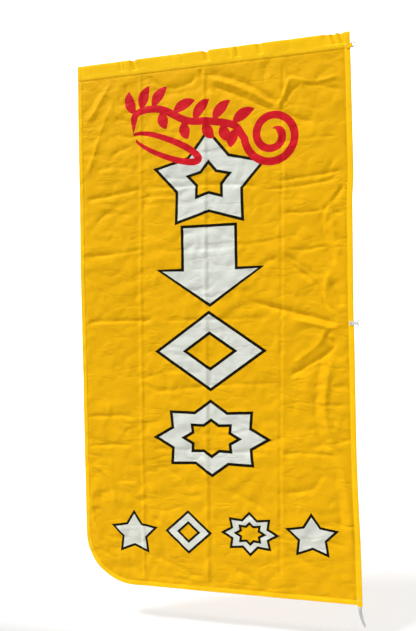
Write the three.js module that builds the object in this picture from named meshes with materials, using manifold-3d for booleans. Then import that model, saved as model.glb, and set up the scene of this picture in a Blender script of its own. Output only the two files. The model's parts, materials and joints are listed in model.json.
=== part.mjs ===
// A forecourt banner flag: a tall yellow cloth panel with one rounded lower corner. A sleeve along its top
// takes the pole's swing arm. A header down the pole side holds a webbing tape and two D-rings, and the
// tape's free end ties the flag down. Millimetres, +Z up. The origin is the middle of the sleeve's mouth,
// and the flag reaches from there towards -X.
import * as THREE from 'three';
import { mergeVertices } from 'three/addons/utils/BufferGeometryUtils.js';
import Module from 'manifold-3d';

const wasm = await Module();
wasm.setup();

// Finished flag
const FLAG_W = 900;
const FLAG_H = 1750;
const CORNER_R = 165;
const FIT_GAP = 0.3;
const PANEL_T = 1.0;
const PANEL_IN_CASING = 2;

// Pole sleeve, lying flat but a little open
const SLEEVE_H = 50;
const SLEEVE_OPEN_HALF = 3.6;
const SLEEVE_WALL = 0.7;
const SEAM_H = 13;
const SEAM_HALF_GAP = 0.8;
const FLARE_H = 8;
const FOLD_H = 17;
const MOUTH_HEM_W = 10;
const UPPER_SEAM_Z = -16;
const LOWER_SEAM_Z = -22;

// Hems and header
const HEM_W = 14;
const HEM_WALL = 0.6;
const HEM_GAP = 1.7;
const CASING_W = 16;
const CASING_WALL = 0.7;
const CASING_GAP = 1.8;
const CASING_BELOW_HEM = 4;
const HEADER_TAPE_FROM_EDGE = 1.2;

// Webbing, tabs and D-rings
const TAPE_W = 12.5;
const TAPE_T = 1.2;
const TAB_W = 12;
const TAB_WALL = 0.8;
const TAB_GAP = 3.8;
const TAB_REACH = 14;
const RING_BAR_X = 5;
const RING_T = 2.6;
const RING_BEVEL = 0.5;
const RING_H = 18;
const RING_SHOULDER = 2.7;
const RING_CORNER = 2;
const TOP_RING_Z = -19;
const TOP_RING_TILT = THREE.MathUtils.degToRad(20);
const MID_RING_Z = -866;

// Tie tail: its tape starts inside the casing and leaves at the mouth. Each pair is how far the tape has
// drifted towards the pole and how far it has come down.
const TAIL_INSIDE = 14;
const TAIL_STEPS = 20;
const TAIL_ROUTE = [[0, 0], [0, 9], [0, 18], [0.6, 28], [2.4, 39], [5.4, 51], [9.6, 63], [14.6, 74]];

// Thread
const THREAD_T = 0.4;
const THREAD_W = 1.0;
const TACK_W = 2.4;
const TACK_L = 11;
const TACK_OFFSET = 2;
const TAB_TACK_X = -9;
const HEM_ROW_IN = 2;
const CASING_ROW_IN = 1.2;
const SEAM_ROW_IN = 3;
const ROW_END = 1;

// Places worked out from the sizes above
const SLEEVE_TOP = SLEEVE_H / 2;
const SLEEVE_BOTTOM = -SLEEVE_H / 2;
const SEAM_TOP = SLEEVE_BOTTOM + SEAM_H;
const POCKET_BOTTOM = SEAM_TOP + FLARE_H;
const FOLD_START = SLEEVE_TOP - FOLD_H;
const FLAG_BOTTOM = SLEEVE_TOP - FLAG_H;
const CASING_TOP = SLEEVE_BOTTOM - FIT_GAP;
const CASING_BOTTOM = FLAG_BOTTOM - CASING_BELOW_HEM;
const CASING_HALF = CASING_GAP / 2 + CASING_WALL;
const HEM_HALF = HEM_GAP / 2 + HEM_WALL;
const TAB_HALF = TAB_GAP / 2 + TAB_WALL;
const SEAM_HALF = SEAM_HALF_GAP + SLEEVE_WALL;
const CORNER_X = CORNER_R - FLAG_W;
const CORNER_Z = FLAG_BOTTOM + CORNER_R;
const TAPE_X = -HEADER_TAPE_FROM_EDGE - TAPE_W / 2;
const TAIL_TOP = CASING_BOTTOM + TAIL_INSIDE;

const cloth = (colour) => new THREE.MeshStandardMaterial({ color: colour, roughness: 0.75, metalness: 0 });
const PANEL_COLOUR = 0xe8ae10;
const TRIM_COLOUR = 0xf8c028;
const THREAD_COLOUR = 0xf0c860;
const WEBBING_COLOUR = 0xdde1e0;
const TACK_COLOUR = 0xe6d2b0;

const flag = new THREE.Group();

function add(name, geometry, material, parent = flag) {
  const mesh = new THREE.Mesh(geometry, material);
  mesh.name = name;
  parent.add(mesh);
  return mesh;
}

// A solid of the given X, Y and Z ranges.
function block(x, y, z) {
  const geometry = new THREE.BoxGeometry(x[1] - x[0], y[1] - y[0], z[1] - z[0]);
  return geometry.translate((x[0] + x[1]) / 2, (y[0] + y[1]) / 2, (z[0] + z[1]) / 2);
}

function extrude(shape, depth, curveSegments) {
  return new THREE.ExtrudeGeometry(shape, { depth, bevelEnabled: false, curveSegments });
}

// A flat plate in the flag's plane: a shape drawn in X and Z, centred on Y = 0.
function plate(shape, thickness) {
  return extrude(shape, thickness, 16).translate(0, 0, -thickness / 2).rotateX(Math.PI / 2);
}

// A section drawn in Y and Z, run along X.
function alongX(section, x) {
  return extrude(section, x[1] - x[0], 8).rotateY(Math.PI / 2).rotateX(Math.PI / 2).translate(x[0], 0, 0);
}

// A section drawn in X and Y, run along Z.
function alongZ(section, z) {
  return extrude(section, z[1] - z[0], 6).translate(0, 0, z[0]);
}

// A strip folded over an edge: its round fold touches X = 0 and its two leaves reach to X = -reach.
function hairpin(reach, gap, wall) {
  const inner = gap / 2;
  const outer = inner + wall;
  const section = new THREE.Shape();
  section.moveTo(-reach, -outer);
  section.lineTo(-outer, -outer);
  section.absarc(-outer, 0, outer, -Math.PI / 2, Math.PI / 2, false);
  section.lineTo(-reach, outer);
  section.lineTo(-reach, inner);
  section.lineTo(-outer, inner);
  section.absarc(-outer, 0, inner, Math.PI / 2, -Math.PI / 2, true);
  section.lineTo(-reach, -inner);
  section.closePath();
  return section;
}

// A wall that follows the sleeve, between two offsets out from the sleeve's inner face. It has the seam's two
// leaves, the flare, the pocket and the fold at the top.
function sleeveSection(inside, outside) {
  const section = new THREE.Shape();
  const seam = (offset) => SEAM_HALF_GAP + offset;
  const pocket = (offset) => SLEEVE_OPEN_HALF + offset;
  const bend = FLARE_H / 2;
  const rise = FOLD_H - SLEEVE_WALL;
  section.moveTo(-seam(outside), SLEEVE_BOTTOM);
  section.lineTo(-seam(outside), SEAM_TOP);
  section.bezierCurveTo(
    -seam(outside), SEAM_TOP + bend, -pocket(outside), POCKET_BOTTOM - bend, -pocket(outside), POCKET_BOTTOM);
  section.lineTo(-pocket(outside), FOLD_START);
  section.absellipse(0, FOLD_START, pocket(outside), rise + outside, Math.PI, 0, true);
  section.lineTo(pocket(outside), POCKET_BOTTOM);
  section.bezierCurveTo(
    pocket(outside), POCKET_BOTTOM - bend, seam(outside), SEAM_TOP + bend, seam(outside), SEAM_TOP);
  section.lineTo(seam(outside), SLEEVE_BOTTOM);
  section.lineTo(seam(inside), SLEEVE_BOTTOM);
  section.lineTo(seam(inside), SEAM_TOP);
  section.bezierCurveTo(
    seam(inside), SEAM_TOP + bend, pocket(inside), POCKET_BOTTOM - bend, pocket(inside), POCKET_BOTTOM);
  section.lineTo(pocket(inside), FOLD_START);
  section.absellipse(0, FOLD_START, pocket(inside), rise + inside, 0, Math.PI, false);
  section.lineTo(-pocket(inside), POCKET_BOTTOM);
  section.bezierCurveTo(
    -pocket(inside), POCKET_BOTTOM - bend, -seam(inside), SEAM_TOP + bend, -seam(inside), SEAM_TOP);
  section.lineTo(-seam(inside), SLEEVE_BOTTOM);
  section.closePath();
  return section;
}

// The panel's outline: square at three corners and round at the lower one on the free side.
function panelShape() {
  const inset = HEM_WALL + FIT_GAP;
  const left = inset - FLAG_W;
  const bottom = FLAG_BOTTOM + inset;
  const right = PANEL_IN_CASING - CASING_W;
  const top = SEAM_TOP - FIT_GAP;
  const shape = new THREE.Shape();
  shape.moveTo(left, top);
  shape.lineTo(left, CORNER_Z);
  shape.absarc(CORNER_X, CORNER_Z, CORNER_R - inset, Math.PI, 1.5 * Math.PI, false);
  shape.lineTo(right, bottom);
  shape.lineTo(right, top);
  shape.closePath();
  return shape;
}

// The band along the corner and the bottom edge, between two distances in from the flag's outline.
function bottomBand(from, to, right) {
  const shape = new THREE.Shape();
  shape.absarc(CORNER_X, CORNER_Z, CORNER_R - from, Math.PI, 1.5 * Math.PI, false);
  shape.lineTo(right, FLAG_BOTTOM + from);
  shape.lineTo(right, FLAG_BOTTOM + to);
  shape.absarc(CORNER_X, CORNER_Z, CORNER_R - to, 1.5 * Math.PI, Math.PI, true);
  shape.closePath();
  return shape;
}

function toSolid(geometry) {
  const bare = geometry.clone();
  bare.deleteAttribute('normal');
  bare.deleteAttribute('uv');
  const merged = mergeVertices(bare);
  return new wasm.Manifold(new wasm.Mesh({
    numProp: 3,
    vertProperties: new Float32Array(merged.attributes.position.array),
    triVerts: new Uint32Array(merged.index.array),
  }));
}

function toGeometry(solid) {
  const mesh = solid.getMesh();
  const geometry = new THREE.BufferGeometry();
  geometry.setAttribute('position', new THREE.BufferAttribute(new Float32Array(mesh.vertProperties), 3));
  geometry.setIndex(new THREE.BufferAttribute(new Uint32Array(mesh.triVerts), 1));
  geometry.computeVertexNormals();
  return geometry;
}

function makePanel() {
  add('flag_panel', plate(panelShape(), PANEL_T), cloth(PANEL_COLOUR));
}

function makeSleeve() {
  add('pole_sleeve', alongX(sleeveSection(0, SLEEVE_WALL), [-FLAG_W, 0]), cloth(TRIM_COLOUR));

  const threadInner = SLEEVE_WALL + FIT_GAP;
  const threadOuter = threadInner + THREAD_T;
  const mouthRowX = [-MOUTH_HEM_W - THREAD_W, -MOUTH_HEM_W];
  const wholeRow = toSolid(alongX(sleeveSection(threadInner, threadOuter), mouthRowX));
  const underTab = toSolid(block([-FLAG_W, 0], [-SLEEVE_H, SLEEVE_H], [FLAG_BOTTOM, SEAM_TOP]));
  add('sleeve_mouth_stitching', toGeometry(wholeRow.subtract(underTab)), cloth(THREAD_COLOUR));

  const endHalf = SLEEVE_OPEN_HALF - FIT_GAP;
  const endX = HEM_W - FLAG_W;
  const endRow = block([endX - THREAD_W, endX], [-endHalf, endHalf], [POCKET_BOTTOM, FOLD_START]);
  add('sleeve_end_stitching', endRow, cloth(THREAD_COLOUR));

  const rowY = [-SEAM_HALF - FIT_GAP - THREAD_T, -SEAM_HALF - FIT_GAP];
  const rowX = [SEAM_ROW_IN - FLAG_W, -CASING_W - ROW_END];
  const rows = { sleeve_seam_stitching_upper: UPPER_SEAM_Z, sleeve_seam_stitching_lower: LOWER_SEAM_Z };
  for (const [name, z] of Object.entries(rows)) {
    add(name, block(rowX, rowY, [z - THREAD_W / 2, z + THREAD_W / 2]), cloth(THREAD_COLOUR));
  }
}

function makeHeader() {
  const casing = hairpin(CASING_W, CASING_GAP, CASING_WALL);
  add('header_casing', alongZ(casing, [CASING_BOTTOM, CASING_TOP]), cloth(TRIM_COLOUR));

  const tape = block(
    [TAPE_X - TAPE_W / 2, TAPE_X + TAPE_W / 2], [-TAPE_T / 2, TAPE_T / 2], [TAIL_TOP + FIT_GAP, CASING_TOP]);
  add('header_tape', tape, cloth(WEBBING_COLOUR));

  const rowX = CASING_ROW_IN - CASING_W;
  const row = block(
    [rowX - THREAD_W / 2, rowX + THREAD_W / 2],
    [-CASING_HALF - FIT_GAP - THREAD_T, -CASING_HALF - FIT_GAP],
    [CASING_BOTTOM + ROW_END, CASING_TOP - ROW_END]);
  add('header_stitching', row, cloth(THREAD_COLOUR));
}

function makeHems() {
  const side = alongZ(hairpin(HEM_W, HEM_GAP, HEM_WALL), [CORNER_Z + FIT_GAP, CASING_TOP]);
  side.rotateZ(Math.PI).translate(-FLAG_W, 0, 0);
  add('side_hem', side, cloth(TRIM_COLOUR));

  const right = -CASING_W - FIT_GAP;
  const outside = toSolid(plate(bottomBand(0, HEM_W, right), 2 * HEM_HALF));
  const past = 1;
  const inside = toSolid(plate(bottomBand(HEM_WALL, HEM_W + past, right + past), HEM_GAP));
  add('bottom_hem', toGeometry(outside.subtract(inside)), cloth(TRIM_COLOUR));

  const rowIn = HEM_W - HEM_ROW_IN;
  const rowY = -HEM_HALF - FIT_GAP - THREAD_T / 2;
  const sideRow = block(
    [rowIn - THREAD_W - FLAG_W, rowIn - FLAG_W],
    [rowY - THREAD_T / 2, rowY + THREAD_T / 2],
    [CORNER_Z + FIT_GAP, CASING_TOP - ROW_END]);
  add('side_hem_stitching', sideRow, cloth(THREAD_COLOUR));

  const bottomRow = plate(bottomBand(rowIn - THREAD_W, rowIn, right), THREAD_T).translate(0, rowY, 0);
  add('bottom_hem_stitching', bottomRow, cloth(THREAD_COLOUR));
}

// A flat D-ring in X and Z, its straight bar on the Z axis.
function ringGeometry() {
  const half = RING_H / 2;
  const bar = RING_T / 2;
  const eye = half - RING_T;
  const corner = RING_CORNER;
  const shape = new THREE.Shape();
  shape.moveTo(RING_SHOULDER, half);
  shape.lineTo(corner - bar, half);
  shape.quadraticCurveTo(-bar, half, -bar, half - corner);
  shape.lineTo(-bar, corner - half);
  shape.quadraticCurveTo(-bar, -half, corner - bar, -half);
  shape.lineTo(RING_SHOULDER, -half);
  shape.absarc(RING_SHOULDER, 0, half, -Math.PI / 2, Math.PI / 2, false);
  const hole = new THREE.Path();
  hole.moveTo(bar, eye);
  hole.lineTo(RING_SHOULDER, eye);
  hole.absarc(RING_SHOULDER, 0, eye, Math.PI / 2, -Math.PI / 2, true);
  hole.lineTo(bar, -eye);
  hole.closePath();
  shape.holes.push(hole);
  const geometry = new THREE.ExtrudeGeometry(shape, {
    depth: RING_T - 2 * RING_BEVEL,
    bevelEnabled: true,
    bevelThickness: RING_BEVEL,
    bevelSize: RING_BEVEL,
    bevelOffset: -RING_BEVEL,
    bevelSegments: 2,
    curveSegments: 14,
  });
  return geometry.translate(0, 0, RING_BEVEL - RING_T / 2).rotateX(Math.PI / 2);
}

// A webbing tab folded over the flag's edge, with a D-ring in its fold.
function makeRing(name, z, tilt, tabColour) {
  const place = new THREE.Group();
  place.position.set(0, 0, z);
  place.rotation.y = -tilt;
  flag.add(place);

  const reach = TAB_REACH + RING_BAR_X + TAB_HALF;
  const tab = alongZ(hairpin(reach, TAB_GAP, TAB_WALL), [-TAB_W / 2, TAB_W / 2]);
  tab.translate(RING_BAR_X + TAB_HALF, 0, 0);
  add(`${name}_tab`, tab, cloth(tabColour), place);

  const plastic = new THREE.MeshStandardMaterial({ color: 0xd4d6cc, roughness: 0.4, metalness: 0 });
  const ring = add(name, ringGeometry(), plastic, place);
  ring.position.x = RING_BAR_X;
}

// A dense bar tack on the front face, long in Z.
function makeBarTack(name, x, z, clothHalf) {
  const y = -clothHalf - FIT_GAP;
  const tack = block([x - TACK_W / 2, x + TACK_W / 2], [y - THREAD_T, y], [z - TACK_L / 2, z + TACK_L / 2]);
  add(name, tack, cloth(TACK_COLOUR));
}

function makeTail() {
  const half = TAPE_W / 2;
  const thick = TAPE_T / 2;
  const round = thick / 2;
  const section = new THREE.Shape([
    new THREE.Vector2(-thick, round - half),
    new THREE.Vector2(-round, -half),
    new THREE.Vector2(round, -half),
    new THREE.Vector2(thick, round - half),
    new THREE.Vector2(thick, half - round),
    new THREE.Vector2(round, half),
    new THREE.Vector2(-round, half),
    new THREE.Vector2(-thick, half - round),
  ]);
  const points = TAIL_ROUTE.map(([drift, drop]) => new THREE.Vector3(TAPE_X + drift, 0, TAIL_TOP - drop));
  const route = new THREE.CatmullRomCurve3(points);
  const geometry = new THREE.ExtrudeGeometry(section, { steps: TAIL_STEPS, extrudePath: route });
  add('tie_tail', geometry, cloth(WEBBING_COLOUR));
}

makePanel();
makeSleeve();
makeHeader();
makeHems();
makeRing('top_ring', TOP_RING_Z, TOP_RING_TILT, TRIM_COLOUR);
makeRing('mid_ring', MID_RING_Z, 0, WEBBING_COLOUR);
makeBarTack('sleeve_bar_tack_left', HEM_W / 2 - FLAG_W, SLEEVE_BOTTOM - TACK_L / 2 - TACK_OFFSET, HEM_HALF);
makeBarTack('top_tab_bar_tack', TAB_TACK_X, TOP_RING_Z - TACK_OFFSET, TAB_HALF);
makeBarTack('mid_tab_bar_tack', TAB_TACK_X, MID_RING_Z, TAB_HALF);
makeBarTack('header_bar_tack', TAPE_X - TACK_OFFSET, FLAG_BOTTOM + HEM_W + TACK_OFFSET, CASING_HALF);
makeTail();

export default flag;
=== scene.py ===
import json
import math
from collections import namedtuple

import bmesh
import bpy
import numpy as np
from mathutils import Matrix, Vector
from mathutils.geometry import delaunay_2d_cdt
from mathutils.kdtree import KDTree


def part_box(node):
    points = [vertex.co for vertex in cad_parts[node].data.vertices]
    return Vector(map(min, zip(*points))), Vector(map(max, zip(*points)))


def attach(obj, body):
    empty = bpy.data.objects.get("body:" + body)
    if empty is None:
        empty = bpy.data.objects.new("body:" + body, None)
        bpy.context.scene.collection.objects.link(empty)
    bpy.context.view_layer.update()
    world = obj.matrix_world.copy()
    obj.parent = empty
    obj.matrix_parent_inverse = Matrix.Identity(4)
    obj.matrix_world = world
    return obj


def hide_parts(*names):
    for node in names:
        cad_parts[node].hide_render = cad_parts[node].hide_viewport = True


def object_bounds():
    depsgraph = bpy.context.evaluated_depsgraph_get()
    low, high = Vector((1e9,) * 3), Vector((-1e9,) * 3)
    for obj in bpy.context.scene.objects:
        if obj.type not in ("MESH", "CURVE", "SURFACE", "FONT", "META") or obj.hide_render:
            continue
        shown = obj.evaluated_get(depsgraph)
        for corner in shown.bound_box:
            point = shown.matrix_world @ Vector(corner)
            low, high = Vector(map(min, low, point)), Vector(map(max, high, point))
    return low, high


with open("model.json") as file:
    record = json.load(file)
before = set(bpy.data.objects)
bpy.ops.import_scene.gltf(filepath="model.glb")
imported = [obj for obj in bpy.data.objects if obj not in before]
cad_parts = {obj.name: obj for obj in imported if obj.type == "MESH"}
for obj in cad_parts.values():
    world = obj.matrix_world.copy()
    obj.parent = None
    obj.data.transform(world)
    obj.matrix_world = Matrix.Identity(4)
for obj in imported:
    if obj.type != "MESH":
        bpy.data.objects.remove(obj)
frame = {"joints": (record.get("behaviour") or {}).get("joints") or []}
CAD_LOW, CAD_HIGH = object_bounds()

bl_info = {
    "name": "Forecourt banner flag",
    "version": (1, 0, 0),
    "blender": (4, 5, 0),
    "location": "View3D > Sidebar > Banner Flag",
    "description": "Sews a tall cloth banner flag with its sleeve, hems, taped header, rings and tie tail",
    "category": "Add Mesh",
}

MM = 0.001

# Places read from the frame. Flat cloth is measured as x and z, and lift is the way off it along +Y.
SLEEVE_LOW, SLEEVE_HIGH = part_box("pole_sleeve")
CASING_LOW, CASING_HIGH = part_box("header_casing")
SIDE_LOW, SIDE_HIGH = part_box("side_hem")
HEM_LOW, HEM_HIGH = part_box("bottom_hem")
PANEL_LOW, PANEL_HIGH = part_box("flag_panel")
TAPE_LOW, TAPE_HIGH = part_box("header_tape")
TAIL_LOW, TAIL_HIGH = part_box("tie_tail")
RING_LOW, RING_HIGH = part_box("mid_ring")
TAB_LOW, TAB_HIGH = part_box("mid_ring_tab")

FLAG_W = -SLEEVE_LOW.x
FLAG_TOP = SLEEVE_HIGH.z
FLAG_BOTTOM = HEM_LOW.z
FLAG_H = FLAG_TOP - FLAG_BOTTOM
SLEEVE_BOTTOM = SLEEVE_LOW.z
CORNER_R = HEM_HIGH.z - HEM_LOW.z
CORNER_X = CORNER_R - FLAG_W
CORNER_Z = HEM_HIGH.z
HEM_W = SIDE_HIGH.x - SIDE_LOW.x
CASING_W = CASING_HIGH.x - CASING_LOW.x
TAPE_X = (TAPE_LOW.x + TAPE_HIGH.x) / 2
TAPE_W = TAPE_HIGH.x - TAPE_LOW.x
TAPE_T = TAPE_HIGH.y - TAPE_LOW.y
RING_T = RING_HIGH.y - RING_LOW.y
RING_H = RING_HIGH.z - RING_LOW.z
RING_BAR_X = RING_LOW.x + RING_T / 2
RING_REACH = RING_HIGH.x - RING_BAR_X
TAB_W = TAB_HIGH.z - TAB_LOW.z
MID_RING_Z = (RING_HIGH.z + RING_LOW.z) / 2

# Cloth as it lies: half gaps and thicknesses
CLOTH_T = 0.5 * MM
SLEEVE_T = 0.45 * MM
SEAM_TOP = SLEEVE_BOTTOM + 13 * MM
SEAM_LIFT = 0.62 * MM
POCKET_LIFT = 2.3 * MM
HEM_LIFT = 0.55 * MM
CASING_LIFT = 0.95 * MM
SEAM_ROWS = (-16 * MM, -22 * MM)

Fold = namedtuple("Fold", "height width route lean fade", defaults=(0.0, 0.16))


# ---------------------------------------------------------------- the lie of the cloth


def smooth(low, high, value):
    """0 at low, 1 at high, and a smooth rise between them."""
    t = np.clip((value - low) / (high - low), 0, 1)
    return t * t * (3 - 2 * t)


def noise(x, z, size, seed):
    """Smooth noise from about -1 to 1 with features of the given size in metres."""
    u = np.asarray(x / size + 31.7 * seed, float)
    v = np.asarray(z / size + 17.3 * seed, float)
    cell_u, cell_v = np.floor(u), np.floor(v)
    part_u, part_v = u - cell_u, v - cell_v

    def corner(du, dv):
        turn = np.sin((cell_u + du) * 127.1 + (cell_v + dv) * 311.7 + seed * 74.7) * 43758.5453
        angle = math.tau * (turn - np.floor(turn))
        return np.cos(angle) * (part_u - du) + np.sin(angle) * (part_v - dv)

    ease_u = part_u**3 * (part_u * (part_u * 6 - 15) + 10)
    ease_v = part_v**3 * (part_v * (part_v * 6 - 15) + 10)
    low = corner(0, 0) * (1 - ease_u) + corner(1, 0) * ease_u
    high = corner(0, 1) * (1 - ease_u) + corner(1, 1) * ease_u
    return 1.5 * (low * (1 - ease_v) + high * ease_v)


def curve_through(points, steps):
    """A smooth open curve through the points, with the given number of steps between each two."""
    known = np.array(points, float)
    padded = np.vstack([2 * known[0] - known[1], known, 2 * known[-1] - known[-2]])
    t = np.linspace(0, 1, steps, endpoint=False)[:, None]
    parts = []
    for a, b, c, d in zip(padded, padded[1:], padded[2:], padded[3:]):
        parts.append(b + 0.5 * t * (c - a + t * (2 * a - 5 * b + 4 * c - d + t * (3 * (b - c) + d - a))))
    return np.vstack([*parts, known[-1:]])


def beside(route, x, z):
    """How far to the right of a route each point lies, and its share of the route's length."""
    near = np.full(x.shape, np.inf)
    side = np.zeros(x.shape)
    share = np.zeros(x.shape)
    lengths = np.hypot(*np.diff(route, axis=0).T)
    starts = np.concatenate([[0], np.cumsum(lengths)])
    for start, end, length, gone in zip(route, route[1:], lengths, starts):
        along = (end - start) / length
        across_x, across_z = x - start[0], z - start[1]
        t = np.clip(across_x * along[0] + across_z * along[1], 0, length)
        distance = np.hypot(across_x - t * along[0], across_z - t * along[1])
        closer = distance < near
        near = np.where(closer, distance, near)
        turn = np.sign(across_x * along[1] - across_z * along[0])
        side = np.where(closer, turn * distance, side)
        share = np.where(closer, (gone + t) / starts[-1], share)
    return side, share


# Heights are towards the front, in millimetres, and a minus sign is a dip. Routes are in metres.
PACKING_CREASES = (
    Fold(2.6, 5.5, ((-0.676, -0.02), (-0.680, -0.45), (-0.689, -0.88), (-0.697, -1.71)), 0, 0.02),
    Fold(-2.0, 17, ((-0.676, -0.02), (-0.680, -0.45), (-0.689, -0.88), (-0.697, -1.71)), 0, 0.02),
    Fold(1.2, 8.0, ((-0.456, -0.02), (-0.460, -0.45), (-0.467, -1.07), (-0.476, -1.71)), 1.7, 0.02),
    Fold(-1.9, 5.0, ((-0.202, -0.03), (-0.213, -0.30), (-0.220, -0.80), (-0.247, -1.68)), 0.5, 0.03),
    Fold(1.3, 14, ((-0.202, -0.03), (-0.213, -0.30), (-0.220, -0.80), (-0.247, -1.68)), 0, 0.03),
    Fold(-2.7, 8.0, ((-0.885, -0.434), (-0.780, -0.424), (-0.670, -0.408)), -0.6),
    Fold(-2.2, 7.0, ((-0.690, -0.407), (-0.560, -0.411), (-0.400, -0.414), (-0.270, -0.432)), -0.5),
    Fold(-2.4, 6.0, ((-0.230, -0.414), (-0.130, -0.408), (-0.025, -0.396)), -0.4),
    Fold(-2.0, 5.0, ((-0.285, -0.440), (-0.170, -0.437), (-0.030, -0.420)), -0.4),
    Fold(-1.1, 5.0, ((-0.215, -0.292), (-0.120, -0.288), (-0.030, -0.290)), 0),
    Fold(-1.8, 4.5, ((-0.213, -0.516), (-0.130, -0.519), (-0.090, -0.514)), -0.4),
    Fold(-1.7, 6.0, ((-0.890, -0.626), (-0.780, -0.622), (-0.655, -0.608)), -0.4),
    Fold(-1.3, 6.0, ((-0.640, -0.620), (-0.420, -0.618), (-0.215, -0.598)), -0.3),
    Fold(-1.8, 4.5, ((-0.205, -0.632), (-0.140, -0.636), (-0.070, -0.624)), -0.3),
    Fold(-2.6, 7.0, ((-0.885, -0.848), (-0.780, -0.846), (-0.640, -0.846)), -0.5),
    Fold(-1.6, 6.0, ((-0.650, -0.846), (-0.450, -0.848), (-0.235, -0.842)), -0.4),
    Fold(-1.5, 6.0, ((-0.690, -1.092), (-0.560, -1.072), (-0.400, -1.058), (-0.240, -1.054)), -0.4),
    Fold(-1.6, 5.0, ((-0.885, -1.166), (-0.800, -1.163), (-0.715, -1.166)), -0.4),
    Fold(-2.0, 6.0, ((-0.888, -1.268), (-0.800, -1.262), (-0.725, -1.262)), -0.4),
    Fold(-1.3, 6.0, ((-0.700, -1.272), (-0.470, -1.270), (-0.235, -1.276)), -0.2),
    Fold(-1.8, 6.0, ((-0.240, -1.276), (-0.150, -1.270), (-0.055, -1.274)), -0.3),
    Fold(-1.4, 5.0, ((-0.800, -1.384), (-0.715, -1.380)), -0.4),
)

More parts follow.
